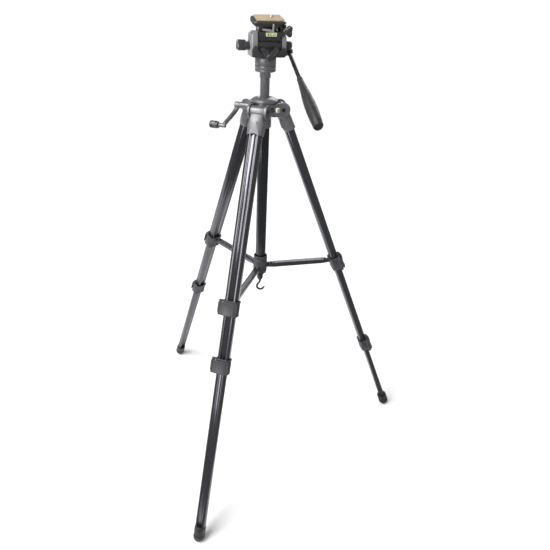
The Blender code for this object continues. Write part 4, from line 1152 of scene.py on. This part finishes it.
def build_level():
    """Tubular level on the drum's block: a white frame, the tinted tube, its lines and the bubble."""
    height = 30.1
    place = TILT @ shift(x=4.4)
    housing = prism(rounded_rect(23.8, 7.8, 1.2, centre=(0, height)), -22.8, -18.4, "Y")
    window = prism(rounded_rect(18.6, 4.6, 1, centre=(0, height)), -30, -20.2, "Y")
    show("level_housing", solid(housing, cuts=[window], bevel=0.3), place, "tilt_head", "level_frame",
         "level_vial")
    axis = (-20.9, height)
    tube = turned([(1.5, -9.1), (2.1, -8.5), (2.1, 8.5), (1.5, 9.1)], 32, "X", centre=axis)
    show("level_tube", solid(tube, bevel=0), place, "tilt_head", "level")
    bubble = turned([(0.5, -2.9), (1.3, -2.2), (1.5, 0), (1.3, 2.2), (0.5, 2.9)], 24, "X",
                    centre=(-21.6, height + 0.6))
    show("level_bubble", solid(bubble, bevel=0), place @ shift(x=2), "tilt_head", "level_bubble")
    for index, x in enumerate((-7, -3.2, 3.2)):
        low, high = x - 0.35, x + 0.35
        line = turned([(2.14, low), (2.24, low), (2.24, high), (2.14, high)], 32, "X", True, axis)
        show(f"level_line_{index}", solid(line, bevel=0), place, "tilt_head", "black_plastic")


def build_head():
    """The head: floor, cheeks, drum, handle, knobs, level, platform, plate, cork and screw."""
    show("head_floor", yoke_mesh(), PAN, "pan_head", "black_plastic", "pan_yoke")
    horns = [(13.5, 29), (5.5, 30), (2, 22), (-7, 22), (-11, 31.5), (-20, 31.5)]
    slope = prism([(-25.5, 33), (-38, 33), (-38, 22.5)], -30, 30, "Y")
    show("head_cheek_left", cheek_mesh(CHEEK_LEFT, horns, [slope]), PAN, "pan_head", "light_plastic",
         "cheek_left")
    shoulders = [(10, 29), (-8, 29), (-20, 19)]
    show("head_cheek_right", cheek_mesh(CHEEK_RIGHT, shoulders), PAN, "pan_head", "light_plastic",
         "cheek_right")
    show("knob_pan", pan_knob_mesh(), PAN @ shift(z=PAN_KNOB_Z), "pan_knob", "black_plastic", "pan_lock_knob")
    show("drum_and_block", drum_mesh(), TILT, "tilt_head", "black_plastic", "tilt_drum")
    show("socket_boss", socket_mesh(), PAN, "tilt_head", "black_plastic", "handle_socket")
    shaft = moved(rod(4.5, -9.5, HANDLE_JUNCTION + 20, "X", sides=48), handle_place())
    show("handle_bar", solid(shaft, bevel=0.3), PAN, "tilt_head", "black_tube", "handle_rod")
    show("grip_rubber", grip_mesh(), PAN, "tilt_head", "grip_rubber", "handle_grip")
    build_level()
    tilt_knob = wing_knob((10.6, 1.9, 3, 90), (9, -47, CHEEK_LEFT[1] - 0.6), (-65.5, -46), "X",
                          [(3.3, -60.5, -30), (5, -42.6, -30)])
    show("knob_tilt", tilt_knob, PAN, "tilt_knob", "black_plastic", "tilt_lock_knob")
    show("platform_tray", flip_frame_mesh(), TILT, "flip_platform", "black_plastic", "flip_frame")
    flip_knob = wing_knob((10.2, 2.2, 3, 60), (5.5, -24, -18.4), (-34, -23), "Y", [(2.5, -30.5, -10)])
    show("knob_flip", flip_knob, TILT @ shift(FLIP_X, 0, FLIP_Z), "flip_knob", "black_plastic",
         "flip_lock_knob")
    release = turned([(2, -2), (2.4, -1.5), (2.4, 14.8), (2, 15.4)], 32)
    tab = prism([(-24, 2), (-23.4, 5), (-22, 5.2), (-5.6, 4), (-5, 3.4), (-5, -1.6)], -1.8, 0.2, "Y")
    link = box((-6, 0.2, -1.8), (0, 1.6, 1.4))
    show("release_tab", solid(release, [tab, link], bevel=0.3), TILT @ shift(RELEASE_X, RELEASE_Y, 36.4),
         "release_lever", "chrome", "release_lever")
    show("plate_rim", plate_mesh(), TILT, "quick_plate", "black_plastic", "quick_release_plate")
    show("plate_cork", cork_mesh(), TILT, "quick_plate", "cork", "cork_pad")
    show("screw_quarter_inch", camera_screw_mesh(), TILT @ shift(*SCREW_PLACE), "camera_screw", "chrome",
         "camera_screw")


# ---- stage, light and camera

def build_stage():
    """A pale floor, whose near sheet alone mirrors in the object, and a backdrop that only cameras see."""
    material, tree, shader, coordinates = new_material("floor_pale")
    colour = mixed(tree, noise(tree, coordinates, 3), (0.88, 0.88, 0.88), (0.9, 0.9, 0.9))
    tree.links.new(colour, shader.inputs["Base Color"])
    shader.inputs["Roughness"].default_value = 0.9
    shader.inputs["Specular IOR Level"].default_value = 0
    bpy.ops.mesh.primitive_plane_add(size=300, location=(0, 0, -FLOOR_DROP))
    floor = bpy.context.object
    floor.name = "floor"
    bpy.ops.mesh.primitive_plane_add(size=6, location=(-2.7, 2.6, -SHEET_DROP))
    sheet = bpy.context.object
    sheet.name = "floor_near"
    glow = bpy.data.materials.new("backdrop_pale")
    glow.use_nodes = True
    glow.node_tree.nodes.clear()
    pale = add_node(glow.node_tree, "ShaderNodeEmission", {"Color": (1, 1, 1, 1)})
    add_node(glow.node_tree, "ShaderNodeOutputMaterial", {"Surface": pale.outputs["Emission"]})
    bpy.ops.mesh.primitive_uv_sphere_add(radius=60, location=(0, 0, 0))
    backdrop = bpy.context.object
    backdrop.name = "backdrop"
    for piece, finish, unseen in (
        (floor, material, ["glossy"]),
        (sheet, material, ["camera", "diffuse", "shadow"]),
        (backdrop, glow, ["diffuse", "glossy", "transmission", "shadow"]),
    ):
        for kind in unseen:
            setattr(piece, f"visible_{kind}", False)
        piece.data.materials.append(finish)


def area_light(name, place, target, size, power):
    """A soft rectangular light that faces a point."""
    data = bpy.data.lights.new(name, "AREA")
    data.shape = "RECTANGLE"
    data.size, data.size_y = size
    data.energy = power
    light = new_object(name, data)
    light.location = place
    light.rotation_euler = (Vector(target) - Vector(place)).to_track_quat("-Z", "Y").to_euler()


def build_lights():
    """A bright studio: an even key from the left, pale surroundings, and soft boxes that the tubes mirror."""
    world = bpy.data.worlds.new("studio")
    bpy.context.scene.world = world
    world.use_nodes = True
    background = world.node_tree.nodes["Background"]
    background.inputs["Color"].default_value = (0.97, 0.98, 1, 1)
    background.inputs["Strength"].default_value = SKY_STRENGTH
    key = bpy.data.lights.new("key", "SUN")
    key.energy = KEY_STRENGTH
    key.angle = math.radians(45)
    sun = new_object("key", key)
    sun.rotation_euler = Vector(KEY_DIRECTION).to_track_quat("-Z", "Y").to_euler()
    area_light("front_box", (-0.8, -2.5, 1.75), (0, 0, 2), (1.6, 1.9), 36)
    area_light("back_box", (0.2, 2.6, 2.2), (0, 0, 1.2), (2.2, 1), 26)


def build_camera():
    """The camera: in front, above the head, and turned a little to the left."""
    azimuth, elevation, roll = (
        math.radians(angle) for angle in (CAMERA_AZIMUTH, CAMERA_ELEVATION, CAMERA_ROLL))
    right = Vector((math.cos(azimuth), math.sin(azimuth), 0))
    back = Vector((math.sin(azimuth) * math.cos(elevation), -math.cos(azimuth) * math.cos(elevation),
                   math.sin(elevation)))
    up = back.cross(right)
    across = math.cos(roll) * right + math.sin(roll) * up
    upright = math.cos(roll) * up - math.sin(roll) * right
    data = bpy.data.cameras.new("camera")
    data.lens = CAMERA_LENS
    data.sensor_width = 36
    camera = new_object("camera", data)
    turn = Matrix((across, upright, back)).transposed().to_4x4()
    camera.matrix_world = ROOT @ Matrix.Translation(CAMERA_PLACE) @ turn
    bpy.context.scene.camera = camera
    bpy.context.scene.view_settings.view_transform = "Standard"


build_stage()
build_lights()
build_camera()
build_spider()
build_legs()
build_braces()
build_column()
build_head()
